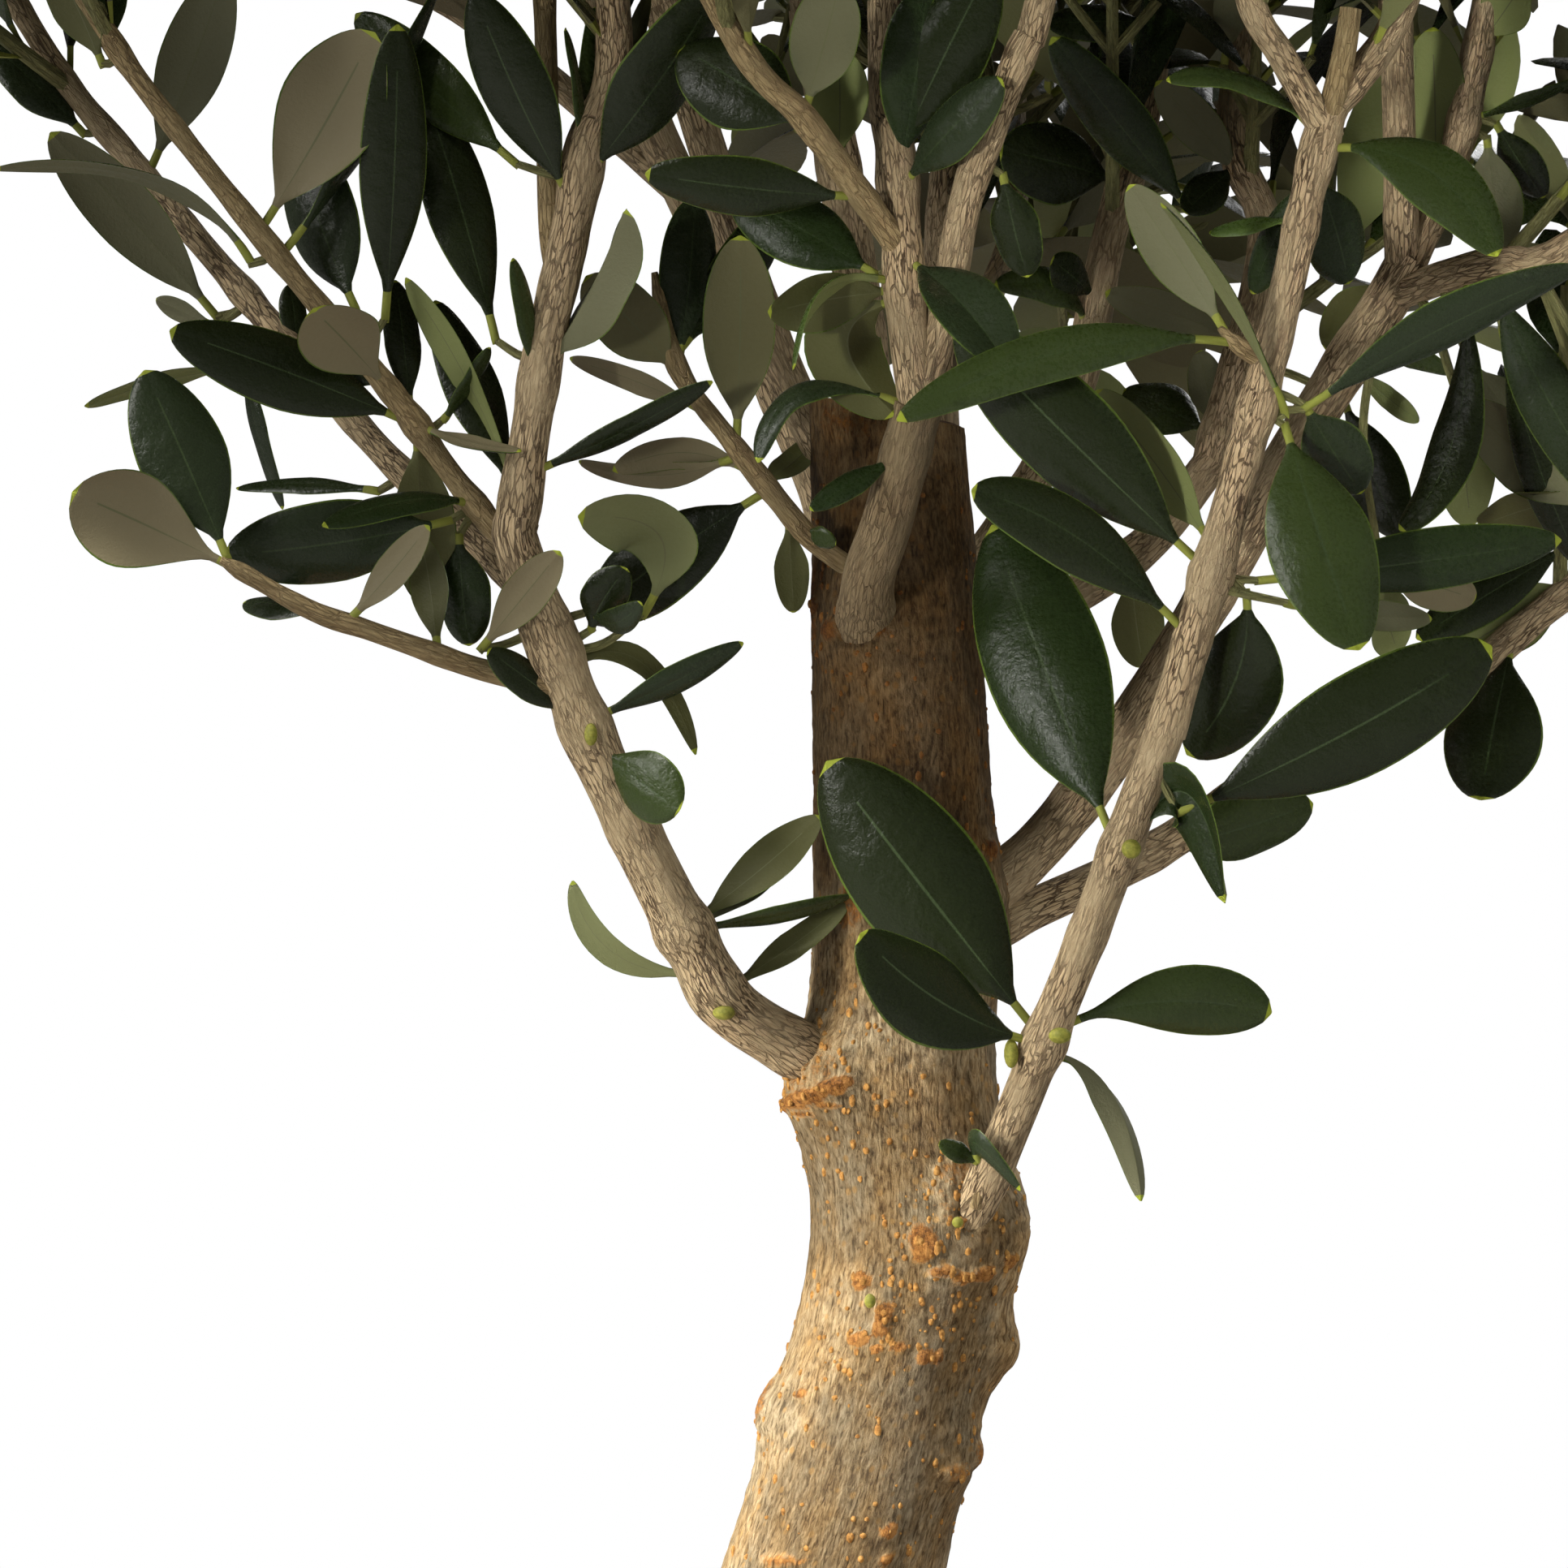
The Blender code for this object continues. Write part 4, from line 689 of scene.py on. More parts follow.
# Bark of limbs: its pale, middle and dark tones, its splits, and how strongly they show
LIMB_BARKS = {
    "bough_bark": ((0.68, 0.545, 0.35), (0.52, 0.4, 0.245), (0.36, 0.262, 0.15), (0.07, 0.042, 0.022), 0.95),
    "stem_bark": (
        (0.48, 0.375, 0.205), (0.365, 0.275, 0.142), (0.24, 0.172, 0.082), (0.13, 0.084, 0.038), 0.6,
    ),
    # the front bough's bark: a darker copy of the boughs' bark, painted shade of the crown over that bough
    "front_bough_bark_shaded": (
        (0.33, 0.255, 0.15), (0.245, 0.184, 0.104), (0.165, 0.118, 0.064), (0.06, 0.037, 0.019), 0.6,
    ),
    "twig_bark": ((0.29, 0.29, 0.125), (0.22, 0.22, 0.09), (0.13, 0.12, 0.05), (0.09, 0.075, 0.034), 0.4),
}

# What the soil is made of: dark and light tone, and the size of its grain
SOILS = {
    "potting_soil": ((0.012, 0.007, 0.004), (0.06, 0.038, 0.024), 0.0016),
    "bark_chip": ((0.06, 0.028, 0.014), (0.2, 0.11, 0.06), 0.0022),
    "white_grain": ((0.56, 0.545, 0.51), (0.8, 0.79, 0.76), 0.0012),
}


# Curves


def unit(vector):
    return vector / np.linalg.norm(vector)


def units(rows):
    return rows / np.linalg.norm(rows, axis=1)[:, None]


def circle(sides):
    """Cosines and sines at even turns round a circle."""
    angles = FULL_TURN * np.arange(sides) / sides
    return np.cos(angles), np.sin(angles)


def level_ring(radius, height, sides):
    """Points round the Z axis at a height."""
    cosines, sines = circle(sides)
    return np.stack([radius * cosines, radius * sines, np.full(sides, height)], axis=-1)


def smooth_route(points, step):
    """Points at even steps on a smooth curve through the given points."""
    knots = [np.array(p, float) for p in points]
    ends = [2 * knots[0] - knots[1]] + knots + [2 * knots[-1] - knots[-2]]
    fine = []
    for a, b, c, d in zip(ends, ends[1:], ends[2:], ends[3:]):
        square = 2 * a - 5 * b + 4 * c - d
        cube = 3 * b - a - 3 * c + d
        for t in np.linspace(0.0, 1.0, CURVE_STEPS, endpoint=False):
            fine.append(0.5 * (2 * b + (c - a) * t + square * t**2 + cube * t**3))
    fine.append(knots[-1])
    return evenly(np.array(fine), step)


def lengths_along(route):
    steps = np.linalg.norm(np.diff(route, axis=0), axis=1)
    return np.concatenate(([0.0], np.cumsum(steps)))


def evenly(fine, step):
    """The same line through points at about this step."""
    lengths = lengths_along(fine)
    count = max(2, round(lengths[-1] / step)) + 1
    wanted = np.linspace(0.0, lengths[-1], count)
    return np.stack([np.interp(wanted, lengths, fine[:, k]) for k in range(3)], axis=1)


def tangents(route):
    return units(np.gradient(route, axis=0))


def side_vectors(along):
    """Sideways vectors that don't twist, one for each point of a route."""
    steep = abs(along[0][2]) > 0.9
    side = unit(np.cross(along[0], SIDEWAYS if steep else UP))
    sides = []
    for t in along:
        side = unit(side - np.dot(side, t) * t)
        sides.append(side)
    return np.array(sides)


def turned_vectors(axes, vectors, angles):
    """Vectors turned about axes that they are square to."""
    angles = np.asarray(angles)[..., None]
    return np.cos(angles) * vectors + np.sin(angles) * np.cross(axes, vectors)


class Line:
    """A route that tells its place and directions at a length along it."""

    def __init__(self, route, radii):
        self.route = route
        self.along = tangents(route)
        self.across = side_vectors(self.along)
        self.lengths = lengths_along(route)
        self.length = self.lengths[-1]
        self.radii = radii
        self.nodes = []

    def at(self, place):
        index = min(int(np.searchsorted(self.lengths, place)), len(self.route) - 1)
        point = np.array([np.interp(place, self.lengths, self.route[:, k]) for k in range(3)])
        return point, self.along[index], self.across[index]

    def radius(self, places):
        return np.interp(places, (0.0, self.length), self.radii)

    def place_seen_at(self, pixel):
        """The length along the line where it shows nearest to a pixel of the photograph."""
        gaps = np.linalg.norm(pixels_of(self.route) - np.array(pixel), axis=1)
        return self.lengths[int(gaps.argmin())]


# The photograph's frame


def pixel_size(depth):
    """What a pixel spans at a depth."""
    return METRES_PER_PIXEL * (CAMERA_DISTANCE + depth) / CAMERA_DISTANCE


def seen_at(pixel, depth):
    """The point at this depth that shows at a pixel of the photograph."""
    scale = pixel_size(depth)
    x = CAMERA_X + (pixel[0] - PICTURE_MIDDLE) * scale
    return np.array((x, depth, CAMERA_Z + (PICTURE_MIDDLE - pixel[1]) * scale))


def pixels_of(points):
    """Where points show in the photograph's frame."""
    points = np.asarray(points)
    scale = pixel_size(points[:, 1])
    across = PICTURE_MIDDLE + (points[:, 0] - CAMERA_X) / scale
    down = PICTURE_MIDDLE - (points[:, 2] - CAMERA_Z) / scale
    return np.stack([across, down], axis=1)


def inside_outline(pixels, outline):
    """Which pixels lie inside a closed outline."""
    inside = np.zeros(len(pixels), bool)
    x, y = pixels[:, 0], pixels[:, 1]
    for (ax, ay), (bx, by) in zip(outline, outline[1:] + outline[:1]):
        crosses = (ay > y) != (by > y)
        slope = (bx - ax) / (by - ay) if by != ay else 0.0
        inside ^= crosses & (x < ax + slope * (y - ay))
    return inside


def keeps_photo_clear(points):
    """Whether what grows by the rule stays out of the photograph's sky and off what stands in front."""
    pixels = pixels_of(points)
    shown = ((pixels > -PICTURE_MARGIN) & (pixels < PICTURE_SIDE + PICTURE_MARGIN)).all(axis=1)
    behind = np.asarray(points)[:, 1] > REAR_DEPTH
    return not (shown & ~(inside_outline(pixels, REAR_FOLIAGE) & behind)).any()


# Noise


def lattice_values(cells):
    """A value from 0 to 1 for each whole-number place, always the same."""
    mixed = np.bitwise_xor.reduce(cells * LATTICE_FACTORS, axis=-1)
    mixed = (mixed ^ (mixed >> 13)) * LATTICE_MIX
    return ((mixed ^ (mixed >> 16)) & LATTICE_TOP) / LATTICE_TOP


def noise(points):
    """Smooth noise from -1 to 1, with features about one unit across."""
    cells = np.floor(points).astype(np.int64)
    share = points - cells
    share = share * share * (3 - 2 * share)
    total = np.zeros(points.shape[:-1])
    for corner in np.ndindex(2, 2, 2):
        weight = np.prod(np.where(np.array(corner) == 1, share, 1 - share), axis=-1)
        total += weight * lattice_values(cells + np.array(corner))
    return 2 * total - 1


def grained(grain, across, along):
    """Noise on a surface that's unrolled as grain coordinates: two across, one along."""
    return noise(grain / np.array((across, across, along)))


# Meshes


def add_object(name, points, faces, materials, indexes=0, layers=None):
    """An object with its materials, and layers of values that its materials read at each point."""
    mesh = bpy.data.meshes.new(name)
    mesh.from_pydata(np.asarray(points).tolist(), [], faces)
    for material in materials:
        mesh.materials.append(material)
    rows = np.broadcast_to(np.asarray(indexes, np.int32), len(faces))
    mesh.polygons.foreach_set("material_index", np.ascontiguousarray(rows))
    for layer_name, values in (layers or {}).items():
        values = np.asarray(values, np.float32)
        kind, key = ("FLOAT_VECTOR", "vector") if values.ndim == 2 else ("FLOAT", "value")
        mesh.attributes.new(layer_name, kind, "POINT").data.foreach_set(key, values.ravel())
    mesh.shade_smooth()
    mesh.set_sharp_from_angle(angle=SHARP_EDGE)
    item = bpy.data.objects.new(name, mesh)
    bpy.context.scene.collection.objects.link(item)
    return item


def finish_piece(item, node):
    """Makes a piece move with the plant, and hides the node that it replaces."""
    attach(item, "root")
    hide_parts(node)
    return item


def grid_faces(rings, sides, start=0):
    """Faces of rings of points, one ring after another."""
    ring, side = np.meshgrid(np.arange(rings - 1), np.arange(sides), indexing="ij")
    a = start + ring * sides + side
    b = start + ring * sides + (side + 1) % sides
    return np.stack([a, b, b + sides, a + sides], axis=-1).reshape(-1, 4).tolist()


def end_face(start, sides):
    return list(range(start, start + sides))


def closed_faces(rings, sides, flip=False):
    """Faces of rings of points and of both ends, all turned inside out where flip is true."""
    ends = [end_face(0, sides)[::-1], end_face((rings - 1) * sides, sides)]
    faces = grid_faces(rings, sides) + ends
    return [face[::-1] for face in faces] if flip else faces


class Patchwork:
    """Gathers meshes that are joined into one piece."""

    def __init__(self):
        self.points = []
        self.faces = []
        self.indexes = []
        self.grain = []
        self.count = 0

    def add(self, points, faces, indexes=0, grain=None):
        self.points.append(points)
        self.faces += [[corner + self.count for corner in face] for face in faces]
        self.indexes.append(np.broadcast_to(indexes, len(faces)))
        self.grain.append(np.zeros_like(points) if grain is None else grain)
        self.count += len(points)

    def add_limb(self, route, radii, sides, furrow=0.0, index=0):
        points, faces, grain = tube(route, radii, sides, furrow)
        self.add(points, faces, index, grain)

    def build(self, name, materials, slot, node, with_grain=False):
        layers = {"grain": np.concatenate(self.grain)} if with_grain else {}
        points = np.concatenate(self.points)
        item = add_object(name, points, self.faces, materials, np.concatenate(self.indexes), layers)
        return finish_piece(item, node)


def lapped(route, radii):
    """A limb's route and radii with its foot carried back into what bears it."""
    foot = route[0] + LIMB_LAP * unit(route[0] - route[1])
    return np.vstack([foot, route]), np.concatenate([radii[:1], radii])


def tube(route, radii, sides, furrow):
    """A limb's points, faces and grain coordinates, with furrows along it and flat ends."""
    along = tangents(route)
    across = side_vectors(along)
    up = np.cross(along, across)
    cosines, sines = circle(sides)
    radii = radii[:, None]
    lengths = np.repeat(lengths_along(route)[:, None], sides, axis=1)
    grain = np.stack([radii * cosines, radii * sines, lengths], axis=-1) + route[0]
    reach = radii * np.ones(sides)
    if furrow:
        reach = reach * (1 + furrow * grained(grain, *LIMB_GRAIN) + furrow * grained(grain, *LIMB_KNOBS))
    points = (
        route[:, None, :]
        + (reach * cosines)[..., None] * across[:, None, :]
        + (reach * sines)[..., None] * up[:, None, :]
    )
    return points.reshape(-1, 3), closed_faces(len(route), sides), grain.reshape(-1, 3)


# Leaves


def rib_curve(root, via, tip, share):
    """Points and tangents of a bent rib at shares of its length."""
    share = share[:, None]
    control = 2 * via - (root + tip) / 2
    points = (1 - share) ** 2 * root + 2 * share * (1 - share) * control + share**2 * tip
    return points, units(2 * (1 - share) * (control - root) + 2 * share * (tip - control))


def blade_outline(share, width, belly):
    """Half the width of a leaf at shares of its length: a thin stalk, then the blade."""
    inner = np.clip((share - STALK_SHARE) / (1 - STALK_SHARE), 0.0, 1.0)
    turned = inner ** (math.log(0.5) / math.log(belly))
    fullness = np.where(turned < 0.5, BASE_FULLNESS, TIP_FULLNESS)
    blade = 0.5 * width * np.clip(4 * turned * (1 - turned), 0.0, 1.0) ** fullness
    end = np.where(share > 0.5, TIP_HALF_WIDTH, STALK_HALF_WIDTH)
    return np.hypot(blade, end)


def blade(leaf):
    """Points, faces and material rows of one leaf: a thin closed body with a stalk and a rib."""
    stations, columns = leaf.grid
    sides = np.array(sorted({-c for c in columns} | set(columns)))
    share = np.linspace(0.0, 1.0, stations)
    share = STATIONS_EVEN * share + STATIONS_AT_ENDS * (1 - np.cos(math.pi * share))
    rib, along = rib_curve(leaf.root, leaf.via, leaf.tip, share)
    face = units(leaf.face - (along @ leaf.face)[:, None] * along)
    face = turned_vectors(along, face, leaf.twist * (share - 0.5))
    across = np.cross(along, face)
    half = blade_outline(share, leaf.width, leaf.belly)[:, None]
    bladed = np.clip((share - BLADE_FROM) / BLADE_GROWS_OVER, 0.0, 1.0)
    waves = leaf.wave * np.sin(leaf.wave_turns * share + leaf.wave_start) * bladed
    fold = (leaf.fold * bladed)[:, None]
    bladed = bladed[:, None]
    lift = half * (
        np.abs(sides) ** FOLD_STEEPNESS * np.sin(fold)
        - EDGE_CURL * sides**6 * bladed
        + np.abs(sides) * sides * waves[:, None]
    )
    reach = half * sides * np.cos(fold)
    middle = rib[:, None, :] + reach[..., None] * across[:, None, :] + lift[..., None] * face[:, None, :]
    thick = STALK_THICKNESS + (BLADE_THICKNESS - STALK_THICKNESS) * bladed
    thick = thick * np.sqrt(1 - sides**2) * np.minimum(1.0, half / STALK_HALF_WIDTH)
    ridge = RIB_DEPTH * bladed * np.exp(-((sides * half / RIB_HALF_WIDTH) ** 2))
    for end in (0, -1):
        thick[end] = 0.0
        ridge[end] = 0.0
    upper = middle + (0.5 * thick - ridge)[..., None] * face[:, None, :]
    lower = middle - (0.5 * thick + ridge)[..., None] * face[:, None, :]
    return leaf_faces(upper, lower, share, leaf)


def leaf_faces(upper, lower, share, leaf):
    """Joins a leaf's two sides at their edges and tells each face's material row."""
    stations, count = upper.shape[:2]
    top = np.arange(stations * count).reshape(stations, count)
    under = top.copy()
    inner = np.arange((stations - 2) * (count - 2)).reshape(stations - 2, count - 2)
    under[1:-1, 1:-1] = stations * count + inner
    points = np.concatenate([upper.reshape(-1, 3), lower[1:-1, 1:-1].reshape(-1, 3)])
    upper_faces = np.stack([top[:-1, :-1], top[:-1, 1:], top[1:, 1:], top[1:, :-1]], axis=-1)
    lower_faces = np.stack([under[:-1, :-1], under[1:, :-1], under[1:, 1:], under[:-1, 1:]], axis=-1)
    rows = [
        face_rows(share[1:], count - 1, leaf.top_row, "rib_top"),
        face_rows(share[1:], count - 1, leaf.under_row, "rib_under"),
    ]
    faces = upper_faces.reshape(-1, 4).tolist() + lower_faces.reshape(-1, 4).tolist()
    return points, faces, np.concatenate(rows)


def face_rows(share, columns, own, rib):
    """Material rows of the faces on one side of a leaf, with more kinds where its grid is finer."""
    rows = np.full((len(share), columns), own)
    middle = slice(columns // 2 - 1, columns // 2 + 1)
    if columns > 6:
        rows[:, middle] = MATERIAL_ROWS.index(rib)
        rows[share > RIB_END, middle] = own
    if columns > 4:
        # the edge rows take the margin's colour, partly painted light shining through the thin edge
        rows[:, 0] = rows[:, -1] = MATERIAL_ROWS.index("edge")
        rows[-1, :] = MATERIAL_ROWS.index("tip")
    rows[share < STALK_COLOURED] = MATERIAL_ROWS.index("stalk")
    return rows.ravel()


# Foliage


Blade = namedtuple(
    "Blade",
    "root tip via face width belly fold twist wave wave_turns wave_start grid top_row under_row",
)


def tint_rows(tint):
    first = len(MATERIAL_ROWS) + 2 * list(TINTS).index(tint)
    return first, first + 1


def photo_blade(leaf, line, chance):
    """A leaf that the photograph shows, and the stalk that it needs to reach its limb."""
    place = line.place_seen_at(leaf.root)
    line.nodes.append(place)
    foot = line.at(place)[0]
    depth = foot[1]
    tip = seen_at(leaf.tip, depth + leaf.back)
    root = seen_at(leaf.root, depth)
    way = unit(tip - foot)
    reach = np.linalg.norm(root - foot)
    stalk = None
    if reach < STALK_FROM * line.radius(place):
        root = foot + way * 0.5 * line.radius(place)
    else:
        bend = (foot + root) / 2 + STALK_BEND * reach * unit(root - tip)
        stalk = Line(smooth_route((foot, bend, root + STALK_LAP * way), STALK_STEP), STALK_RADII)
    via = seen_at(leaf.via, depth + 0.5 * leaf.back) if leaf.via else (root + tip) / 2
    towards = unit(TOWARDS_CAMERA - np.dot(TOWARDS_CAMERA, way) * way)
    face = turned_vectors(way, towards, math.radians(leaf.roll))
    via = via + leaf.bow * np.linalg.norm(tip - root) * face
    made = Blade(
        root, tip, via, face, leaf.width, leaf.belly, math.radians(leaf.fold),
        math.radians(leaf.twist + chance.uniform(-SHOWN_LEAF_TWIST, SHOWN_LEAF_TWIST)),
        chance.uniform(*SHOWN_LEAF_WAVES), chance.uniform(*SHOWN_WAVE_TURNS),
        chance.uniform(*WAVE_STARTS), NEAR_GRID, *tint_rows(leaf.tint),
    )
    return made, stalk


def nearest(points, line):
    return np.sqrt(((points[:, None, :] - line[None, :, :]) ** 2).sum(axis=2)).min(axis=1)


def in_crown(points):
    return ((((points - CROWN_CENTRE) / CROWN_RADII) ** 2).sum(axis=1) < 1.0).all()


def crown_point(bearing, elevation, share):
    bearing = math.radians(bearing)
    elevation = math.radians(elevation)
    level = math.cos(elevation)
    way = np.array((level * math.cos(bearing), level * math.sin(bearing), math.sin(elevation)))
    return np.array(CROWN_CENTRE) + share * way * CROWN_RADII


class Space:
    """The part of the crown that is nearer to one stem than to any other, and off the limbs."""

    def __init__(self, name, lines, limbs):
        self.own = lines[name]
        self.others = np.concatenate([line for other, line in lines.items() if other != name])
        self.limbs = limbs

    def holds(self, points, margin):
        points = np.array(points)
        if not in_crown(points):
            return False
        if (nearest(points, self.others) < nearest(points, self.own) + margin).any():
            return False
        gaps = np.linalg.norm(points[:, None, :] - self.limbs[None, :, :3], axis=2) - self.limbs[:, 3]
        return (gaps > LIMB_MARGIN).all() and keeps_photo_clear(points)


class Crowd:
    """The ribs and edges of the leaves that have grown, for the next leaf to be clear of."""

    def __init__(self):
        self.points = np.full((CROWD_ROOM, 3), FAR_OFF)
        self.count = 0

    def is_clear(self, samples):
        taken = self.points[: max(self.count, 1)]
        near = taken[(np.abs(taken - samples.mean(axis=0)) < CROWD_REACH).all(axis=1)]
        return not len(near) or nearest(samples, near).min() > LEAF_CLEARANCE

    def take(self, samples):
        self.points[self.count : self.count + len(samples)] = samples
        self.count += len(samples)


def blade_samples(blade):
    """Points along a leaf's rib and by its edges."""
    rib = rib_curve(blade.root, blade.via, blade.tip, SAMPLE_SHARES)[0]
    way = unit(blade.tip - blade.root)
    across = unit(np.cross(way, blade.face)) * SAMPLE_SIDE * blade.width
    return np.concatenate([rib, [blade.via + across, blade.via - across]])


def choose_tint(chance):
    return chance.choices(list(SPRAY_TINTS), weights=list(SPRAY_TINTS.values()))[0]


def rule_blade(root, along, side, size, tint, chance):
    """A leaf by the rule, at a node of a twig."""
    angle = LEAF_ANGLE + chance.uniform(-JITTER, JITTER)
    length = size * LEAF_LENGTH * (1 + chance.uniform(-LEAF_SPREAD, LEAF_SPREAD))
    width = size**0.8 * LEAF_WIDTH * (1 + chance.uniform(-LEAF_SPREAD, LEAF_SPREAD))
    way = unit(math.cos(angle) * along + math.sin(angle) * side)
    face = along + LEAF_UPTURN * UP
    face = unit(face - np.dot(face, way) * way)
    face = turned_vectors(way, face, chance.uniform(-LEAF_ROLL, LEAF_ROLL))
    tip = root + length * way
    via = (root + tip) / 2 + chance.uniform(0.0, LEAF_BOW) * length * face
    via = via + chance.uniform(-LEAF_SWAY, LEAF_SWAY) * length * np.cross(way, face)
    shown = (np.abs(pixels_of([tip])[0] - PICTURE_MIDDLE) < SHOWN_SHARE * PICTURE_SIDE).all()
    own_tint = tint if chance.random() < SAME_TINT else choose_tint(chance)
    return Blade(
        root, tip, via, face, width, chance.uniform(*LEAF_BELLIES),
        math.radians(chance.uniform(*LEAF_FOLDS)), math.radians(chance.uniform(-LEAF_TWIST, LEAF_TWIST)),
        chance.uniform(*LEAF_WAVES), chance.uniform(*WAVE_TURNS), chance.uniform(*WAVE_STARTS),
        MIDDLE_GRID if shown else FAR_GRID, *tint_rows(own_tint),
    )


def grow_leaves(line, chance, space, crowd, start):
    """Opposite pairs of leaves down a twig from its tip, each turned a right angle from the last."""
    leaves = []
    tint = choose_tint(chance)
    turn = chance.uniform(0, math.pi)
    place = line.length - TIP_BARE
    young = YOUNG_LEAF
    while place > start:
        point, along, across = line.at(place)
        for half in (0.0, math.pi):
            for other in LEAF_TURNS:
                side = turned_vectors(along, across, turn + half + other)
                root = point + 0.6 * line.radius(place) * side
                blade = rule_blade(root, along, side, young, tint, chance)
                samples = blade_samples(blade)
                if space.holds(samples, -FREE_REACH) and crowd.is_clear(samples):
                    crowd.take(samples)
                    leaves.append(blade)
                    break
        line.nodes.append(place)
        young = min(1.0, young + YOUNG_GROWTH)
        place -= LEAF_STEP * (0.7 + 0.3 * young) * chance.uniform(*LEAF_STEP_RANGE)
        turn += math.pi / 2 + chance.uniform(-JITTER, JITTER)
    return leaves


def grow_twigs(line, size, chance, space, first, reach_share=1.0):
    """Opposite pairs of twigs up a stem, each turned a right angle from the last."""
    twigs = []
    turn = chance.uniform(0, math.pi)
    place = first
    while place < line.length - TWIG_END_STEPS * size * TWIG_STEP:
        start, along, across = line.at(place)
        reach = reach_share * size * TWIG_LENGTH * (1 - TWIG_TAPER * place / line.length)
        reach *= chance.uniform(*TWIG_LENGTH_RANGE)
        for half in (0.0, math.pi):
            side = turned_vectors(along, across, turn + half)
            way = unit(math.cos(TWIG_ANGLE) * along + math.sin(TWIG_ANGLE) * side + TWIG_LIFT * UP)
            twigs += grow_twig(start, way, reach, line.radius(place), space)
        place += size * TWIG_STEP * chance.uniform(*TWIG_STEP_RANGE)
        turn += math.pi / 2 + chance.uniform(-JITTER, JITTER)
    return twigs


def grow_twig(start, way, reach, thickest, space):
    """One twig that arches up, shortened until it finds room."""
    share = np.linspace(0.0, 1.0, 9)[:, None]
    for cut in TWIG_CUTS:
        route = start + share * cut * reach * way + TWIG_ARCH * cut * reach * share**2 * UP
        if space.holds(route[2:], 0.0):
            foot = min(TWIG_RADII[0], 0.8 * thickest)
            return [Line(evenly(route, TWIG_ROUTE_STEP), (foot, TWIG_RADII[1]))]
    return []


def grow_mass(stem, extra, chance, space, crowd):
    """A mass's twigs and leaves, on its stem and its side shoots."""
    twigs = grow_twigs(stem, 1.0, chance, space, FIRST_TWIG)
    for shoot in extra:
        twigs += grow_twigs(shoot, SPRIG_SIZE, chance, space, SHOOT_BARE * shoot.length)
    sprigs = []
    for twig in twigs:
        sprigs += grow_twigs(twig, SPRIG_SIZE, chance, space, SPRIG_START * twig.length, SPRIG_SHARE)
    leaves = []
    for line in [*sprigs, *twigs]:
        leaves += grow_leaves(line, chance, space, crowd, TWIG_BARE)
    for line in [stem, *extra]:
        leaves += grow_leaves(line, chance, space, crowd, STEM_BARE)
    return twigs + sprigs, leaves


def limb_radii(line, spacing, chance):
    """Radii along a limb, with swellings at the nodes where leaves stand or stood."""
    nodes = list(line.nodes)
    place = chance.uniform(0.3, 1.0) * spacing
    while place < line.length:
        if all(abs(place - other) > 0.5 * spacing for other in nodes):
            nodes.append(place)
        place += spacing * chance.uniform(*NODE_STEP_RANGE)
    radii = line.radius(line.lengths)
    thickness = (line.radii[0] / NODE_SWELL_RADIUS) ** 0.5
    for node in nodes:
        radii = radii + NODE_SWELL * np.exp(-(((line.lengths - node) / NODE_REACH) ** 2)) * thickness
    return radii


def make_bough(name, line, material, chance):
    """A bough with its relief and the collar where it leaves the trunk."""
    radii = limb_radii(line, BOUGH_NODES, chance)
    radii = radii * (1 + COLLAR_SWELL * np.exp(-((line.lengths / COLLAR_REACH) ** 2)))
    patch = Patchwork()
    patch.add_limb(*lapped(line.route, radii), LIMB_SIDES, LIMB_FURROW)
    patch.build(name + "_bark", [material], "bough_bark", name, True)


def make_mass(name, limbs, cut_off, twigs, leaves, barks, leaf_materials, chance):
    """The pieces of a mass: its stem and shoots, its twigs and its leaves."""
    patch = Patchwork()
    for line in limbs:
        foot = line.radii[0]
        radii = limb_radii(line, STEM_NODES, chance)
        if line is not cut_off:
            radii = radii * np.clip((line.length - line.lengths) / BUD_LENGTH, BUD_TIP, 1.0) ** 0.5
        sides = STEM_SIDES if foot > SLIM_RADIUS else SLIM_SIDES
        patch.add_limb(*lapped(line.route, radii), sides, STEM_FURROW, 0 if foot > PALE_RADIUS else 1)
    patch.build(name + "_stem", barks, "bough_bark", name, True)
    if twigs:
        bundle = Patchwork()
        for line in twigs:
            bundle.add_limb(line.route, line.radius(line.lengths), TWIG_SIDES)
        bundle.build(name + "_twigs", [barks[2]], "bough_bark", name, True)
    blades = Patchwork()
    for leaf in leaves:
        blades.add(*blade(leaf))
    blades.build(name + "_leaves", leaf_materials, "leaf", name)


def make_foliage(lines, barks, leaf_materials):
    """Every mass, with the leaves that the photograph shows on the limbs that bear them."""
    routes = {name: evenly(lines[name].route, LINE_STEP) for name in STEMS}
    limbs = limb_points([lines[name] for name in BOUGHS])
    crowd = Crowd()
    shown = {name: [] for name in STEMS}
    stalks = {name: [] for name in STEMS}
    chance = random.Random(SEED)
    for leaf in LEAVES.values():
        made, stalk = photo_blade(leaf, lines[leaf.limb], chance)
        shown[mass_of(leaf.limb)].append(made)
        stalks[mass_of(leaf.limb)] += [stalk] if stalk else []
        crowd.take(blade_samples(made))
    for number, name in enumerate(STEMS):
        chance = random.Random(SEED + number)
        space = Space(name, routes, limbs)
        stem = lines[name]
        extra = [lines[shoot] for shoot, facts in SHOOTS.items() if facts[0] == name]
        twigs, leaves = grow_mass(stem, extra, chance, space, crowd)
        make_mass(
            name, [stem, *extra], lines["right_stub"], twigs + stalks[name], shown[name] + leaves,
            barks, leaf_materials, chance,
        )


def mass_of(limb):
    """The mass that a limb's leaves belong to."""
    if limb in STEMS:
        return limb
    return SHOOTS[limb][0] if limb in SHOOTS else BOUGH_MASSES[limb]


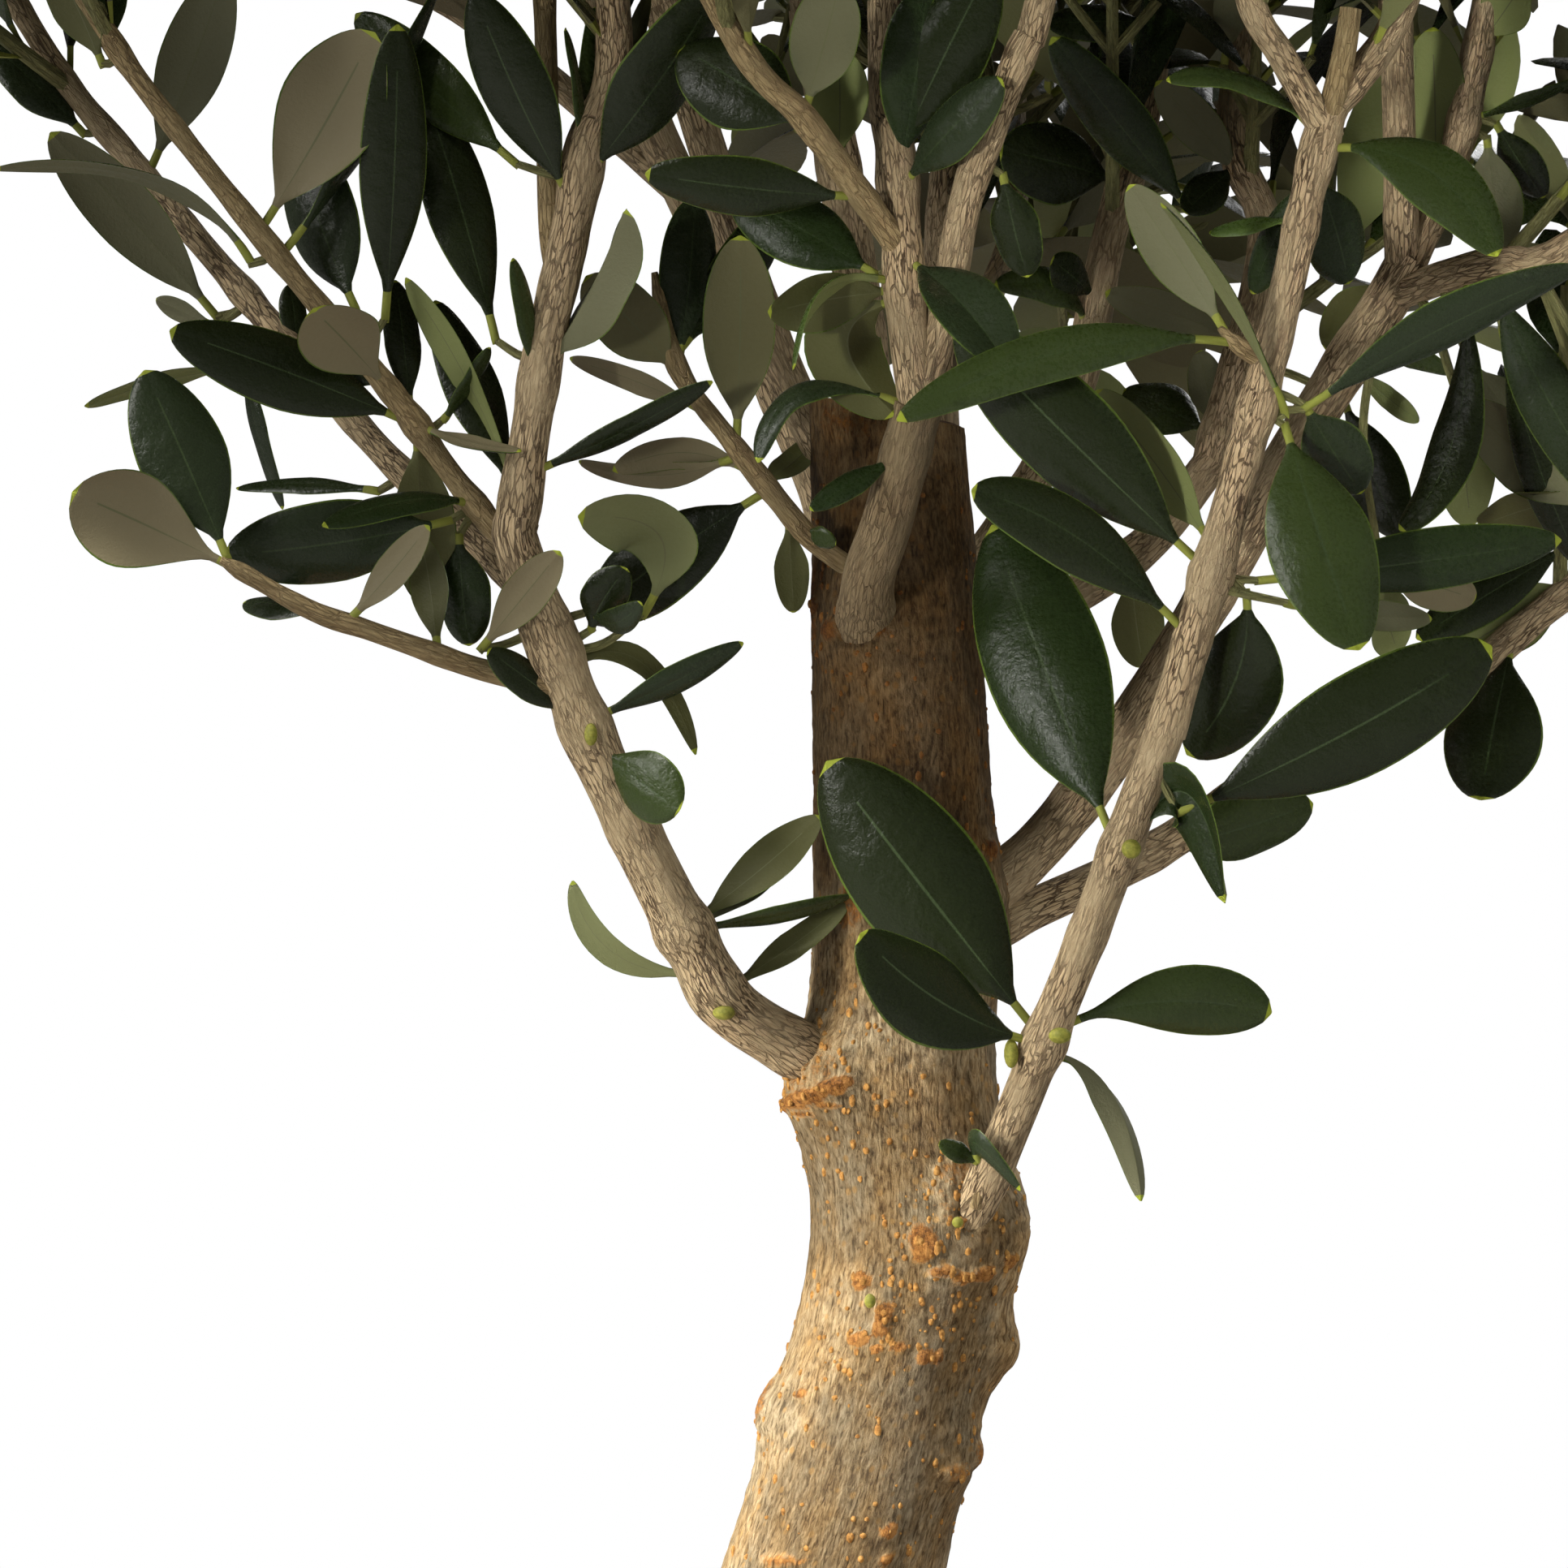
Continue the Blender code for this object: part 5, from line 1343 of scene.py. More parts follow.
def limb_points(boughs):
    """The boughs and the trunk as close points, each with its radius."""
    rows = []
    for line in boughs:
        for point in evenly(line.route, LINE_STEP):
            rows.append((*point, max(line.radii)))
    for height in np.arange(LOWEST_CLEARING, TRUNK_TOP, LINE_STEP):
        centre, radius = trunk_at(np.array([height]))
        rows.append((*centre[0], radius[0]))
    return np.array(rows)


def limb_lines():
    """Every limb's line by name: boughs, stems and side shoots."""
    lines = {}
    for name, (points, radii) in BOUGHS.items():
        lines[name] = Line(smooth_route(points, LIMB_STEP), radii)
    for name, stem in STEMS.items():
        points = list(stem.points)
        if stem.bearing is not None:
            points.append(crown_point(stem.bearing, stem.elevation, STEM_END))
        lines[name] = Line(smooth_route(points, STEM_ROUTE_STEP), (stem.foot_radius, STEM_TIP_RADIUS))
    for name, (_, points, radii) in SHOOTS.items():
        lines[name] = Line(smooth_route(points, STEM_ROUTE_STEP), radii)
    return lines


# Trunk


def trunk_at(heights):
    """Centres and radii of the trunk at heights."""
    table = np.array(TRUNK_STATIONS)
    places = smooth_route(table[:, (1, 2, 0)], TRUNK_STEP)
    sizes = smooth_route(table[:, (3, 3, 0)], TRUNK_STEP)
    centres = [np.interp(heights, places[:, 2], places[:, k]) for k in (0, 1)]
    return np.stack([*centres, heights], axis=-1), np.interp(heights, sizes[:, 2], sizes[:, 0])


def scar_place(scar):
    """Bearing and height of a scar on the trunk's front."""
    point = seen_at((scar.x, scar.y), SCAR_DEPTH)
    centre, radius = trunk_at(point[2:3])
    offset = np.clip((point[0] - centre[0, 0]) / radius[0], -0.98, 0.98)
    return -math.pi / 2 + math.asin(offset), point[2]


def turn_from(bearings, bearing):
    """How far bearings are turned from one bearing, the short way round."""
    return np.remainder(bearings - bearing + math.pi, FULL_TURN) - math.pi


def trunk_surface(bearings, heights):
    """Points of the bark with its relief, grain coordinates, and how rusty and how low each lies."""
    centres, radii = trunk_at(heights)
    lobes = np.cos(ROOT_LOBES * bearings + ROOT_LOBE_TURN)
    radii = radii * (1 + ROOT_LOBE_DEPTH * lobes * np.exp(-(heights - SOIL_LEVEL) / ROOT_LOBE_FADE))
    plain = radii.copy()
    folds = np.zeros_like(radii)
    for degrees, height, swell, reach in SWELLINGS:
        turn = turn_from(bearings, math.radians(degrees))
        apart = np.hypot(turn * plain, heights - height) / reach
        radii = radii + swell * np.exp(-(apart**2))
        folds = np.maximum(folds, np.exp(-((apart / WRINKLE_REACH) ** 2)))
    grain = np.stack([plain * np.cos(bearings), plain * np.sin(bearings), heights], axis=-1)
    relief = sum(reach * grained(grain, across, along) for reach, across, along in RELIEFS)
    relief = relief + WRINKLE * folds * grained(grain, *WRINKLE_GRAIN)
    rust = np.zeros_like(radii)
    rough = grained(grain, SCAR_GRAIN, SCAR_GRAIN)
    for scar in SCARS:
        bearing, height = scar_place(scar)
        across = turn_from(bearings, bearing) * plain / (scar.half_width * METRES_PER_PIXEL)
        up = (heights - height) / (scar.half_height * METRES_PER_PIXEL)
        apart = np.hypot(across, up) + SCAR_RAGGED * rough
        stand = np.exp(-(np.maximum(apart, 0.0) ** 4))
        relief = relief + scar.stand * stand * (0.8 + 0.4 * rough)
        rust = np.maximum(rust, scar.cork * stand)
    radii = radii + relief
    points = centres.copy()
    points[:, 0] += radii * np.cos(bearings)
    points[:, 1] += radii * np.sin(bearings)
    blend = np.clip(1 - (TRUNK_TOP - heights) / TRUNK_CUT_BLEND, 0.0, 1.0)
    points[:, 2] += blend * TRUNK_CUT_SLOPE * (points[:, 0] - centres[:, 0])
    return points, grain, rust, relief


def cut_rings(rim):
    """Rings of the sawn face, a little rough and proud, from its rim inwards."""
    middle = rim.mean(axis=0)
    rings = []
    for share in CUT_RINGS:
        ring = middle + share * (rim - middle)
        ring[:, 2] += CUT_ROUGHNESS * grained(ring, CUT_GRAIN, CUT_GRAIN) + CUT_PROUD * (1 - share)
        rings.append(ring)
    return np.concatenate(rings)


def make_trunk(bark, cut_wood):
    """The trunk's bark with its relief, down to the soil, and the sawn top."""
    heights = np.repeat(np.linspace(TRUNK_FOOT, TRUNK_TOP, TRUNK_RINGS), TRUNK_SIDES)
    bearings = np.tile(FULL_TURN * np.arange(TRUNK_SIDES) / TRUNK_SIDES, TRUNK_RINGS)
    points, grain, rust, relief = trunk_surface(bearings, heights)
    cut = cut_rings(points[-TRUNK_SIDES:])
    start = len(points) - TRUNK_SIDES
    last = start + len(CUT_RINGS) * TRUNK_SIDES
    bark_faces = grid_faces(TRUNK_RINGS, TRUNK_SIDES)
    cut_faces = grid_faces(len(CUT_RINGS) + 1, TRUNK_SIDES, start) + [end_face(last, TRUNK_SIDES)]
    faces = bark_faces + cut_faces + [end_face(0, TRUNK_SIDES)[::-1]]
    rows = [0] * len(bark_faces) + [1] * len(cut_faces) + [0]
    layers = {
        "grain": np.concatenate([grain, cut]),
        "rust": np.concatenate([rust, np.zeros(len(cut))]),
        "relief": np.concatenate([relief, np.zeros(len(cut))]) * 1000,
    }
    item = add_object("trunk_bark", np.concatenate([points, cut]), faces, [bark, cut_wood], rows, layers)
    finish_piece(item, "trunk")


def make_lenticels(material):
    """Small corky warts, scattered over the bark and thicker by the scars."""
    chance = random.Random(SEED)
    patch = Patchwork()
    scars = [scar_place(scar) for scar in SCARS]
    bottom, top = SOIL_LEVEL + LENTICEL_MARGINS[0], TRUNK_TOP - LENTICEL_MARGINS[1]
    bearings = []
    heights = []
    for _ in range(LENTICELS):
        if chance.random() < LENTICELS_BY_SCARS:
            bearing, height = chance.choice(scars)
            bearings.append(bearing + chance.gauss(0, SCAR_SCATTER[0]))
            heights.append(min(max(height + chance.gauss(0, SCAR_SCATTER[1]), bottom), top))
        else:
            bearings.append(chance.uniform(0, FULL_TURN))
            heights.append(chance.uniform(bottom, top))
    heights = np.array(heights)
    places = trunk_surface(np.array(bearings), heights)[0]
    for place, centre in zip(places, trunk_at(heights)[0]):
        out = unit((place - centre) * (1.0, 1.0, 0.0))
        add_wart(patch, place, out, chance.uniform(*LENTICEL_SIZES), chance)
    patch.build("trunk_lenticels", [material], "bark", "trunk")


def add_wart(patch, place, out, size, chance):
    """A low dome that stands on the bark."""
    across = unit(np.cross(UP, out))
    stretch = chance.uniform(*WART_STRETCH)
    points = []
    for radius, rise in WART_RINGS:
        for k in range(WART_SIDES):
            angle = FULL_TURN * k / WART_SIDES
            reach = size * radius * chance.uniform(*WART_UNEVEN)
            points.append(
                place + reach * math.cos(angle) * across + stretch * reach * math.sin(angle) * UP
                + rise * size * out
            )
    rings = len(WART_RINGS)
    top = end_face((rings - 1) * WART_SIDES, WART_SIDES)
    patch.add(np.array(points), grid_faces(rings, WART_SIDES) + [top])


def make_buds(material):
    """Green buds and stumps of leaf stalks, each a small egg sunk in its limb."""
    turns = np.linspace(BUD_END_TURN, math.pi - BUD_END_TURN, BUD_SIDES // 2 + 1)
    for node in dict.fromkeys(bud.node for bud in BUDS):
        patch = Patchwork()
        for bud in (bud for bud in BUDS if bud.node == node):
            width = bud.half_width * METRES_PER_PIXEL
            height = bud.half_height * METRES_PER_PIXEL
            rings = [level_ring(width * math.sin(t), height * math.cos(t), BUD_SIDES) for t in turns]
            points = seen_at((bud.x, bud.y), bud.depth) + np.concatenate(rings)
            patch.add(points, closed_faces(len(rings), BUD_SIDES, flip=True))
        slot = "bark" if node == "trunk" else "bough_bark"
        patch.build(node + "_buds", [material], slot, node)


# Pot and soil


def pot_inner_radius(height):
    share = (height - POT_FLOOR) / (POT_HEIGHT - POT_FLOOR)
    return POT_FOOT_RADIUS - POT_WALL + share * (POT_TOP_RADIUS - POT_FOOT_RADIUS)


def pot_outline():
    """The pot's section from the middle of its underside, up and over the rim to its floor."""
    under_rim = POT_HEIGHT - RIM_HEIGHT
    wall_there = POT_FOOT_RADIUS + (POT_TOP_RADIUS - POT_FOOT_RADIUS) * under_rim / POT_HEIGHT
    rim = POT_TOP_RADIUS + RIM_PROUD
    corners = (
        (POT_MIDDLE_HOLE, 0.0, 0.0),
        (POT_FOOT_RADIUS, 0.0, EDGE_ROUND),
        (wall_there, under_rim, UNDER_RIM_ROUND),
        (rim, under_rim, EDGE_ROUND),
        (rim, POT_HEIGHT, RIM_ROUND),
        (pot_inner_radius(POT_HEIGHT), POT_HEIGHT, LIP_ROUND),
        (pot_inner_radius(POT_FLOOR), POT_FLOOR, FLOOR_ROUND),
        (POT_MIDDLE_HOLE, POT_FLOOR, 0.0),
    )
    places = [np.array(corner[:2]) for corner in corners]
    outline = [places[0]]
    for before, here, after, corner in zip(places, places[1:], places[2:], corners[1:]):
        start = here + corner[2] * unit(before - here)
        end = here + corner[2] * unit(after - here)
        for t in np.linspace(0.0, 1.0, POT_CORNER_STEPS):
            outline.append((1 - t) ** 2 * start + 2 * t * (1 - t) * here + t**2 * end)
    outline.append(places[-1])
    return evenly(np.array([(x, 0.0, z) for x, z in outline]), POT_OUTLINE_STEP)


def make_pot(material):
    """The clay pot, with the faint rings and unevenness that throwing leaves."""
    rings = []
    for radius, _, height in pot_outline():
        grain = level_ring(0.1, height, POT_SIDES)
        uneven = POT_UNEVEN * grained(grain, *POT_RINGS) + 0.6 * POT_UNEVEN * grained(grain, *POT_DENTS)
        standing = 0.0 if height < POT_STANDING else 1.0
        rings.append(level_ring(radius + standing * uneven, height, POT_SIDES))
    faces = closed_faces(len(rings), POT_SIDES)
    finish_piece(add_object("pot_clay", np.concatenate(rings), faces, [material]), "pot")


def soil_height(x, y):
    """Height of the soil's surface: a mound at the trunk's foot, a little low at the wall."""
    places = np.stack([x, y, np.zeros_like(x)], axis=-1)
    from_foot = np.hypot(x - TRUNK_STATIONS[0][1], y - TRUNK_STATIONS[0][2])
    mound = MOUND * np.exp(-((from_foot / MOUND_REACH) ** 2))
    rough = sum(reach * noise(places / size) for reach, size in SOIL_ROUGHNESS)
    return SOIL_LEVEL - SOIL_DROP + mound + rough


def make_soil(materials):
    """Potting soil: a rough surface under loose crumbs, chips of bark and a few white grains."""
    edge = pot_inner_radius(SOIL_LEVEL - 2 * SOIL_DROP) - GAP
    shares = np.linspace(SOIL_MIDDLE, 1.0, SOIL_RINGS) ** SOIL_RING_POWER
    top = np.concatenate([level_ring(edge * share, 0.0, POT_SIDES) for share in shares])
    top[:, 2] = soil_height(top[:, 0], top[:, 1])
    wall = [
        level_ring(pot_inner_radius(z) - GAP, z, POT_SIDES) for z in (0.5 * POT_HEIGHT, POT_FLOOR + GAP)
    ]
    patch = Patchwork()
    patch.add(np.concatenate([top, *wall]), closed_faces(SOIL_RINGS + 2, POT_SIDES, flip=True))
    patch.build("soil_surface", materials, "soil", "soil")
    crumbs = Patchwork()
    chance = random.Random(SEED)
    shape = lump_shape()
    for _ in range(CRUMBS):
        reach = (edge - WALL_MARGIN) * math.sqrt(chance.random())
        turn = chance.uniform(0, FULL_TURN)
        place = np.array((reach * math.cos(turn), reach * math.sin(turn)))
        height = float(soil_height(place[:1], place[1:])[0])
        size = chance.uniform(*CRUMB_SIZES)
        size *= LARGE_CRUMBS[1] if chance.random() < LARGE_CRUMBS[0] else 1.0
        row = chance.choices((0, 1, 2), weights=CRUMB_KINDS)[0]
        add_crumb(crumbs, shape, np.array((*place, height + CRUMB_RAISED * size)), size, row, chance)
    crumbs.build("soil_crumbs", materials, "soil", "soil").data.shade_flat()


def lump_shape():
    """Corners and faces of a ball of twenty triangles."""
    golden = (1 + math.sqrt(5)) / 2
    corners = []
    for a, b in ((1, golden), (1, -golden), (-1, golden), (-1, -golden)):
        corners += [(0, a, b), (a, b, 0), (b, 0, a)]
    corners = np.array(corners, float)
    faces = []
    for i, j, k in combinations(range(len(corners)), 3):
        a, b, c = corners[[i, j, k]]
        sides = [np.linalg.norm(side) for side in (a - b, b - c, c - a)]
        if max(sides) < 2.1:  # the corners of one triangle are 2 apart
            faces.append([i, j, k] if np.dot(np.cross(b - a, c - a), a) > 0 else [i, k, j])
    return corners / np.linalg.norm(corners[0]), faces


def add_crumb(patch, shape, place, size, row, chance):
    """An uneven lump."""
    corners, faces = shape
    squash = np.array([chance.uniform(*reach) for reach in CRUMB_SQUASH])
    turn = chance.uniform(0, math.pi)
    points = corners * [[chance.uniform(*CRUMB_UNEVEN)] for _ in corners] * squash * size
    x = points[:, 0] * math.cos(turn) - points[:, 1] * math.sin(turn)
    y = points[:, 0] * math.sin(turn) + points[:, 1] * math.cos(turn)
    patch.add(np.stack([x, y, points[:, 2]], axis=-1) + place, faces, row)


# Materials


class Finish:
    """Builds the nodes of one material."""

    def __init__(self, name, roughness, specular=0.5, colour=None):
        self.material = bpy.data.materials.new(name)
        self.material.use_nodes = True
        self.tree = self.material.node_tree
        self.shader = self.tree.nodes["Principled BSDF"]
        self.shader.inputs["Roughness"].default_value = roughness
        self.shader.inputs["Specular IOR Level"].default_value = specular
        if colour:
            self.shader.inputs["Base Color"].default_value = (*colour, 1.0)

    def node(self, kind, inputs=None, **settings):
        """A node with its settings. An input is a value, or another node's output to link."""
        made = self.tree.nodes.new(kind)
        for key, value in settings.items():
            setattr(made, key, value)
        for key, value in (inputs or {}).items():
            if isinstance(value, bpy.types.NodeSocket):
                self.tree.links.new(value, made.inputs[key])
            else:
                made.inputs[key].default_value = value
        return made

    def place(self, across, along=None, attribute=None):
        """Coordinates that are counted in grains of this size, across and along a limb."""
        if attribute:
            source = self.node("ShaderNodeAttribute", attribute_name=attribute).outputs["Vector"]
        else:
            source = self.node("ShaderNodeTexCoord").outputs["Object"]
        scale = [1 / across, 1 / across, 1 / (along or across)]
        return self.node("ShaderNodeMapping", {"Vector": source, "Scale": scale}).outputs["Vector"]

    def noise(self, place, detail=4.0, roughness=0.6, distortion=0.0):
        inputs = {
            "Vector": place, "Scale": 1.0, "Detail": detail, "Roughness": roughness,
            "Distortion": distortion,
        }
        return self.node("ShaderNodeTexNoise", inputs).outputs["Fac"]

    def cells(self, place, feature="F1"):
        inputs = {"Vector": place, "Scale": 1.0}
        return self.node("ShaderNodeTexVoronoi", inputs, feature=feature).outputs["Distance"]

    def rise(self, low, high):
        """0 below one height and 1 above another."""
        source = self.node("ShaderNodeTexCoord").outputs["Object"]
        height = self.node("ShaderNodeSeparateXYZ", {"Vector": source}).outputs["Z"]
        inputs = {"From Min": low, "From Max": high, "Value": height}
        made = self.node("ShaderNodeMapRange", inputs, interpolation_type="SMOOTHSTEP")
        return made.outputs["Result"]

    def value(self, attribute):
        return self.node("ShaderNodeAttribute", attribute_name=attribute).outputs["Fac"]

    def ramp(self, factor, *stops):
        """Colours, or greys given as one number, by a factor."""
        made = self.node("ShaderNodeValToRGB", {"Fac": factor})
        elements = made.color_ramp.elements
        while len(elements) < len(stops):
            elements.new(0.5)
        for element, (position, colour) in zip(elements, stops):
            element.position = position
            element.color = (*((colour,) * 3 if isinstance(colour, float) else colour), 1.0)
        return made.outputs["Color"]

    def mix(self, factor, first, second, how="MIX"):
        """Sockets 0, 6 and 7 of the node are the factor and the two colours."""
        values = [(*value, 1.0) if isinstance(value, tuple) else value for value in (first, second)]
        inputs = {0: factor, 6: values[0], 7: values[1]}
        return self.node("ShaderNodeMix", inputs, data_type="RGBA", blend_type=how).outputs[2]

    def times(self, first, second):
        return self.mix(1.0, first, second, "MULTIPLY")

    def sum(self, first, second, share):
        """The first plus a share of the second."""
        inputs = {0: second, 1: share, 2: first}
        return self.node("ShaderNodeMath", inputs, operation="MULTIPLY_ADD").outputs[0]

    def done(self, height, depth, colour=None, roughness=None):
        """Links the relief, and the colour and roughness where they vary. Gives the material."""
        bump = self.node("ShaderNodeBump", {"Height": height, "Distance": depth})
        links = {"Normal": bump.outputs["Normal"], "Base Color": colour, "Roughness": roughness}
        for key, source in links.items():
            if source is not None:
                self.tree.links.new(source, self.shader.inputs[key])
        return self.material


def trunk_bark():
    """Smooth grey-beige bark with fine upright grain and corky rust where it was hurt, painted shade in the
    hollows of its relief, and painted shade of the crown up the trunk.
    """
    finish = Finish("trunk_bark", 0.8, 0.25)
    fibres = finish.noise(finish.place(0.0006, 0.0019, "grain"), 6.0, 0.68, 0.5)
    grey = finish.ramp(fibres, (0.35, (0.13, 0.094, 0.052)), (0.47, (0.325, 0.244, 0.136)),
                       (0.62, (0.53, 0.425, 0.265)))
    tan = finish.ramp(fibres, (0.35, (0.12, 0.068, 0.026)), (0.47, (0.33, 0.21, 0.09)),
                      (0.62, (0.54, 0.375, 0.18)))
    patches = finish.noise(finish.place(0.006, 0.011, "grain"), 5.0)
    base = finish.mix(finish.ramp(patches, (0.4, 0.0), (0.62, 1.0)), grey, tan)
    grooves = finish.noise(finish.place(0.0006, 0.0044, "grain"), 3.0, 0.6, 0.7)
    base = finish.times(base, finish.ramp(grooves, (0.32, (0.48, 0.43, 0.38)), (0.43, WHITE)))
    pores = finish.cells(finish.place(0.0024, 0.0028, "grain"))
    base = finish.mix(finish.ramp(pores, (0.14, 0.8), (0.24, 0.0)), base, (0.5, 0.3, 0.11))
    # painted shade: the bark darkens where its relief lies low, in its hollows and in the holes of scars
    low = finish.sum(finish.value("relief"), patches, 0.2)
    base = finish.times(base, finish.ramp(low, (0.0, 0.6), (0.22, 1.0)))
    crumbs = finish.noise(finish.place(0.0012), 6.0, 0.75)
    cork = finish.ramp(crumbs, (0.38, (0.08, 0.03, 0.008)), (0.48, (0.29, 0.112, 0.022)),
                       (0.6, (0.5, 0.235, 0.06)))
    rust = finish.ramp(finish.sum(crumbs, finish.value("rust"), 0.7), (0.64, 0.0), (0.86, 0.92))
    # the bark darkens up the trunk between these heights: mostly painted shade of the crown, partly the
    # bark's own darker colour
    weather_and_shade = finish.sum(finish.rise(*WEATHER_AND_SHADE_HEIGHTS), patches, 0.3)
    weather_and_shade = finish.ramp(weather_and_shade, (0.16, WHITE), (1.0, (0.35, 0.3, 0.24)))
    fine = finish.noise(finish.place(0.0004, 0.0006), 4.0, 0.7)
    height = finish.sum(finish.sum(fibres, fine, 0.5), grooves, 0.8)
    return finish.done(height, 0.00055, finish.times(finish.mix(rust, base, cork), weather_and_shade))


def grainy(name, roughness, specular, size, detail, coarseness, depth, *stops):
    """A surface whose colour and relief follow one grain."""
    finish = Finish(name, roughness, specular)
    grain = finish.noise(finish.place(size), detail, coarseness)
    return finish.done(grain, depth, finish.ramp(grain, *stops))


def cut_wood():
    """The sawn top: grey weathered wood with dark grain."""
    return grainy("cut_wood", 0.85, 0.5, 0.0009, 5.0, 0.7, 0.0006, (0.3, (0.05, 0.028, 0.02)),
                  (0.52, (0.15, 0.085, 0.052)), (0.72, (0.3, 0.2, 0.13)))


def fresh_cut():
    """A bud, or a cut stalk that's still yellow-green."""
    return grainy("fresh_cut", 0.6, 0.5, 0.0007, 4.0, 0.6, 0.0002, (0.35, (0.17, 0.175, 0.022)),
                  (0.65, (0.31, 0.3, 0.05)))


def earth(name, dark, light, size):
    """Soil, bark chips or white grains."""
    return grainy(name, 0.95, 0.2, size, 5.0, 0.7, 0.5 * size, (0.34, dark), (0.66, light))


def cork():
    """Corky warts, darker up the trunk with the same painted shade of the crown as the bark."""
    finish = Finish("cork", 0.85)
    grain = finish.noise(finish.place(0.0007), 4.0, 0.65)
    base = finish.ramp(grain, (0.34, (0.22, 0.095, 0.02)), (0.5, (0.42, 0.205, 0.048)),
                       (0.68, (0.56, 0.32, 0.095)))
    # painted shade of the crown up the trunk, as on the bark, partly the cork's own darker colour
    weather_and_shade = finish.ramp(finish.rise(*WEATHER_AND_SHADE_HEIGHTS), (0.0, WHITE), (1.0, (0.42, 0.34, 0.26)))
    return finish.done(grain, 0.0003, finish.times(base, weather_and_shade))


def limb_bark(name, pale, middle, dark, groove, split_most):
    """Bark of a bough or a stem, with a net of fine splits along it that fades in patches."""
    finish = Finish(name, 0.72, 0.35)
    fibres = finish.noise(finish.place(0.00042, 0.0026, "grain"), 5.0, 0.66, 0.6)
    base = finish.ramp(fibres, (0.3, dark), (0.48, middle), (0.68, pale))
    net = finish.cells(finish.place(0.0007, 0.0036, "grain"), "DISTANCE_TO_EDGE")
    splits = finish.noise(finish.place(0.00046, 0.0036, "grain"), 3.0, 0.55, 0.8)
    split = finish.mix(1.0, finish.ramp(net, (0.03, 0.8), (0.08, 0.0)),
                       finish.ramp(splits, (0.385, 1.0), (0.425, 0.0)), "LIGHTEN")
    patches = finish.noise(finish.place(0.007, 0.015), 3.0)
    split = finish.times(split, finish.ramp(patches, (0.36, 0.12), (0.6, split_most)))
    tone = finish.ramp(patches, (0.35, (0.84, 0.84, 0.8)), (0.65, (1.06, 1.02, 0.96)))
    colour = finish.times(finish.mix(split, base, groove), tone)
    return finish.done(finish.sum(fibres, split, -1.8), 0.0005, colour)


def leaf_top(name, colour):
    """A leathery, waxy upper side."""
    finish = Finish(name, 0.32, 0.33, colour)
    puckers = finish.noise(finish.place(0.0045), 2.0, 0.5)
    grain = finish.noise(finish.place(0.0006), 3.0, 0.6)
    gloss = finish.ramp(grain, (0.35, 0.22), (0.65, 0.36))
    return finish.done(finish.sum(grain, puckers, 4.0), 0.00012, roughness=gloss)


def leaf_underside(name, colour):
    """A matt underside with close scales."""
    finish = Finish(name, 0.62, 0.35, colour)
    grain = finish.noise(finish.place(0.0006), 4.0, 0.7)
    return finish.done(grain, 0.00012, roughness=finish.ramp(grain, (0.35, 0.55), (0.65, 0.72)))


def leaf_finishes():
    """Stalk, edge, ribs and tip, then each tint's upper side and underside."""
    finishes = [
        leaf_underside("leaf_stalk", (0.235, 0.255, 0.045)),
        # the yellow-green margin: partly the leaf's own margin, partly painted light shining through the
        # thin edge
        leaf_top("leaf_margin_and_glow", (0.078, 0.12, 0.018)),
        leaf_top("leaf_rib_top", (0.04, 0.06, 0.024)),
        leaf_underside("leaf_rib_under", (0.12, 0.125, 0.06)),
        leaf_underside("leaf_tip", (0.28, 0.33, 0.03)),
    ]
    for tint, (top, under) in TINTS.items():
        finishes.append(leaf_top("leaf_top_" + tint, top))
        finishes.append(leaf_underside("leaf_under_" + tint, under))
    return finishes


def clay():
    """Fired clay, a little dusty, with pale bloom and fine pits."""
    finish = Finish("clay", 0.85, 0.25)
    patches = finish.noise(finish.place(0.03, 0.018), 5.0, 0.6)
    base = finish.ramp(patches, (0.32, (0.33, 0.118, 0.056)), (0.52, (0.44, 0.175, 0.088)),
                       (0.74, (0.54, 0.25, 0.14)))
    streaks = finish.noise(finish.place(0.05, 0.0026), 3.0, 0.6)
    base = finish.mix(finish.ramp(streaks, (0.44, 0.0), (0.72, 0.28)), base, (0.6, 0.33, 0.21))
    bloom = finish.noise(finish.place(0.015, 0.012), 7.0, 0.68)
    base = finish.mix(finish.ramp(bloom, (0.54, 0.0), (0.72, 0.5)), base, (0.62, 0.5, 0.41))
    pit = finish.ramp(finish.cells(finish.place(0.0032)), (0.06, 0.0), (0.13, 1.0))
    fine = finish.noise(finish.place(0.0009), 5.0, 0.7)
    height = finish.sum(finish.sum(fine, pit, 0.5), streaks, 0.8)
    return finish.done(height, 0.00035, finish.mix(pit, (0.18, 0.07, 0.036), base))


def floor_finish():
    """The pale floor, barely mottled. It throws little light back up into the leaves."""
    finish = Finish("studio_floor", 0.8)
    seen = finish.ramp(finish.noise(finish.place(0.4), 3.0), (0.3, (0.8, 0.8, 0.79)),
                       (0.7, (0.84, 0.84, 0.83)))
    path = finish.node("ShaderNodeLightPath").outputs["Is Camera Ray"]
    colour = finish.mix(path, (0.1, 0.1, 0.1), seen)
    finish.tree.links.new(colour, finish.shader.inputs["Base Color"])
    return finish.material


# Studio


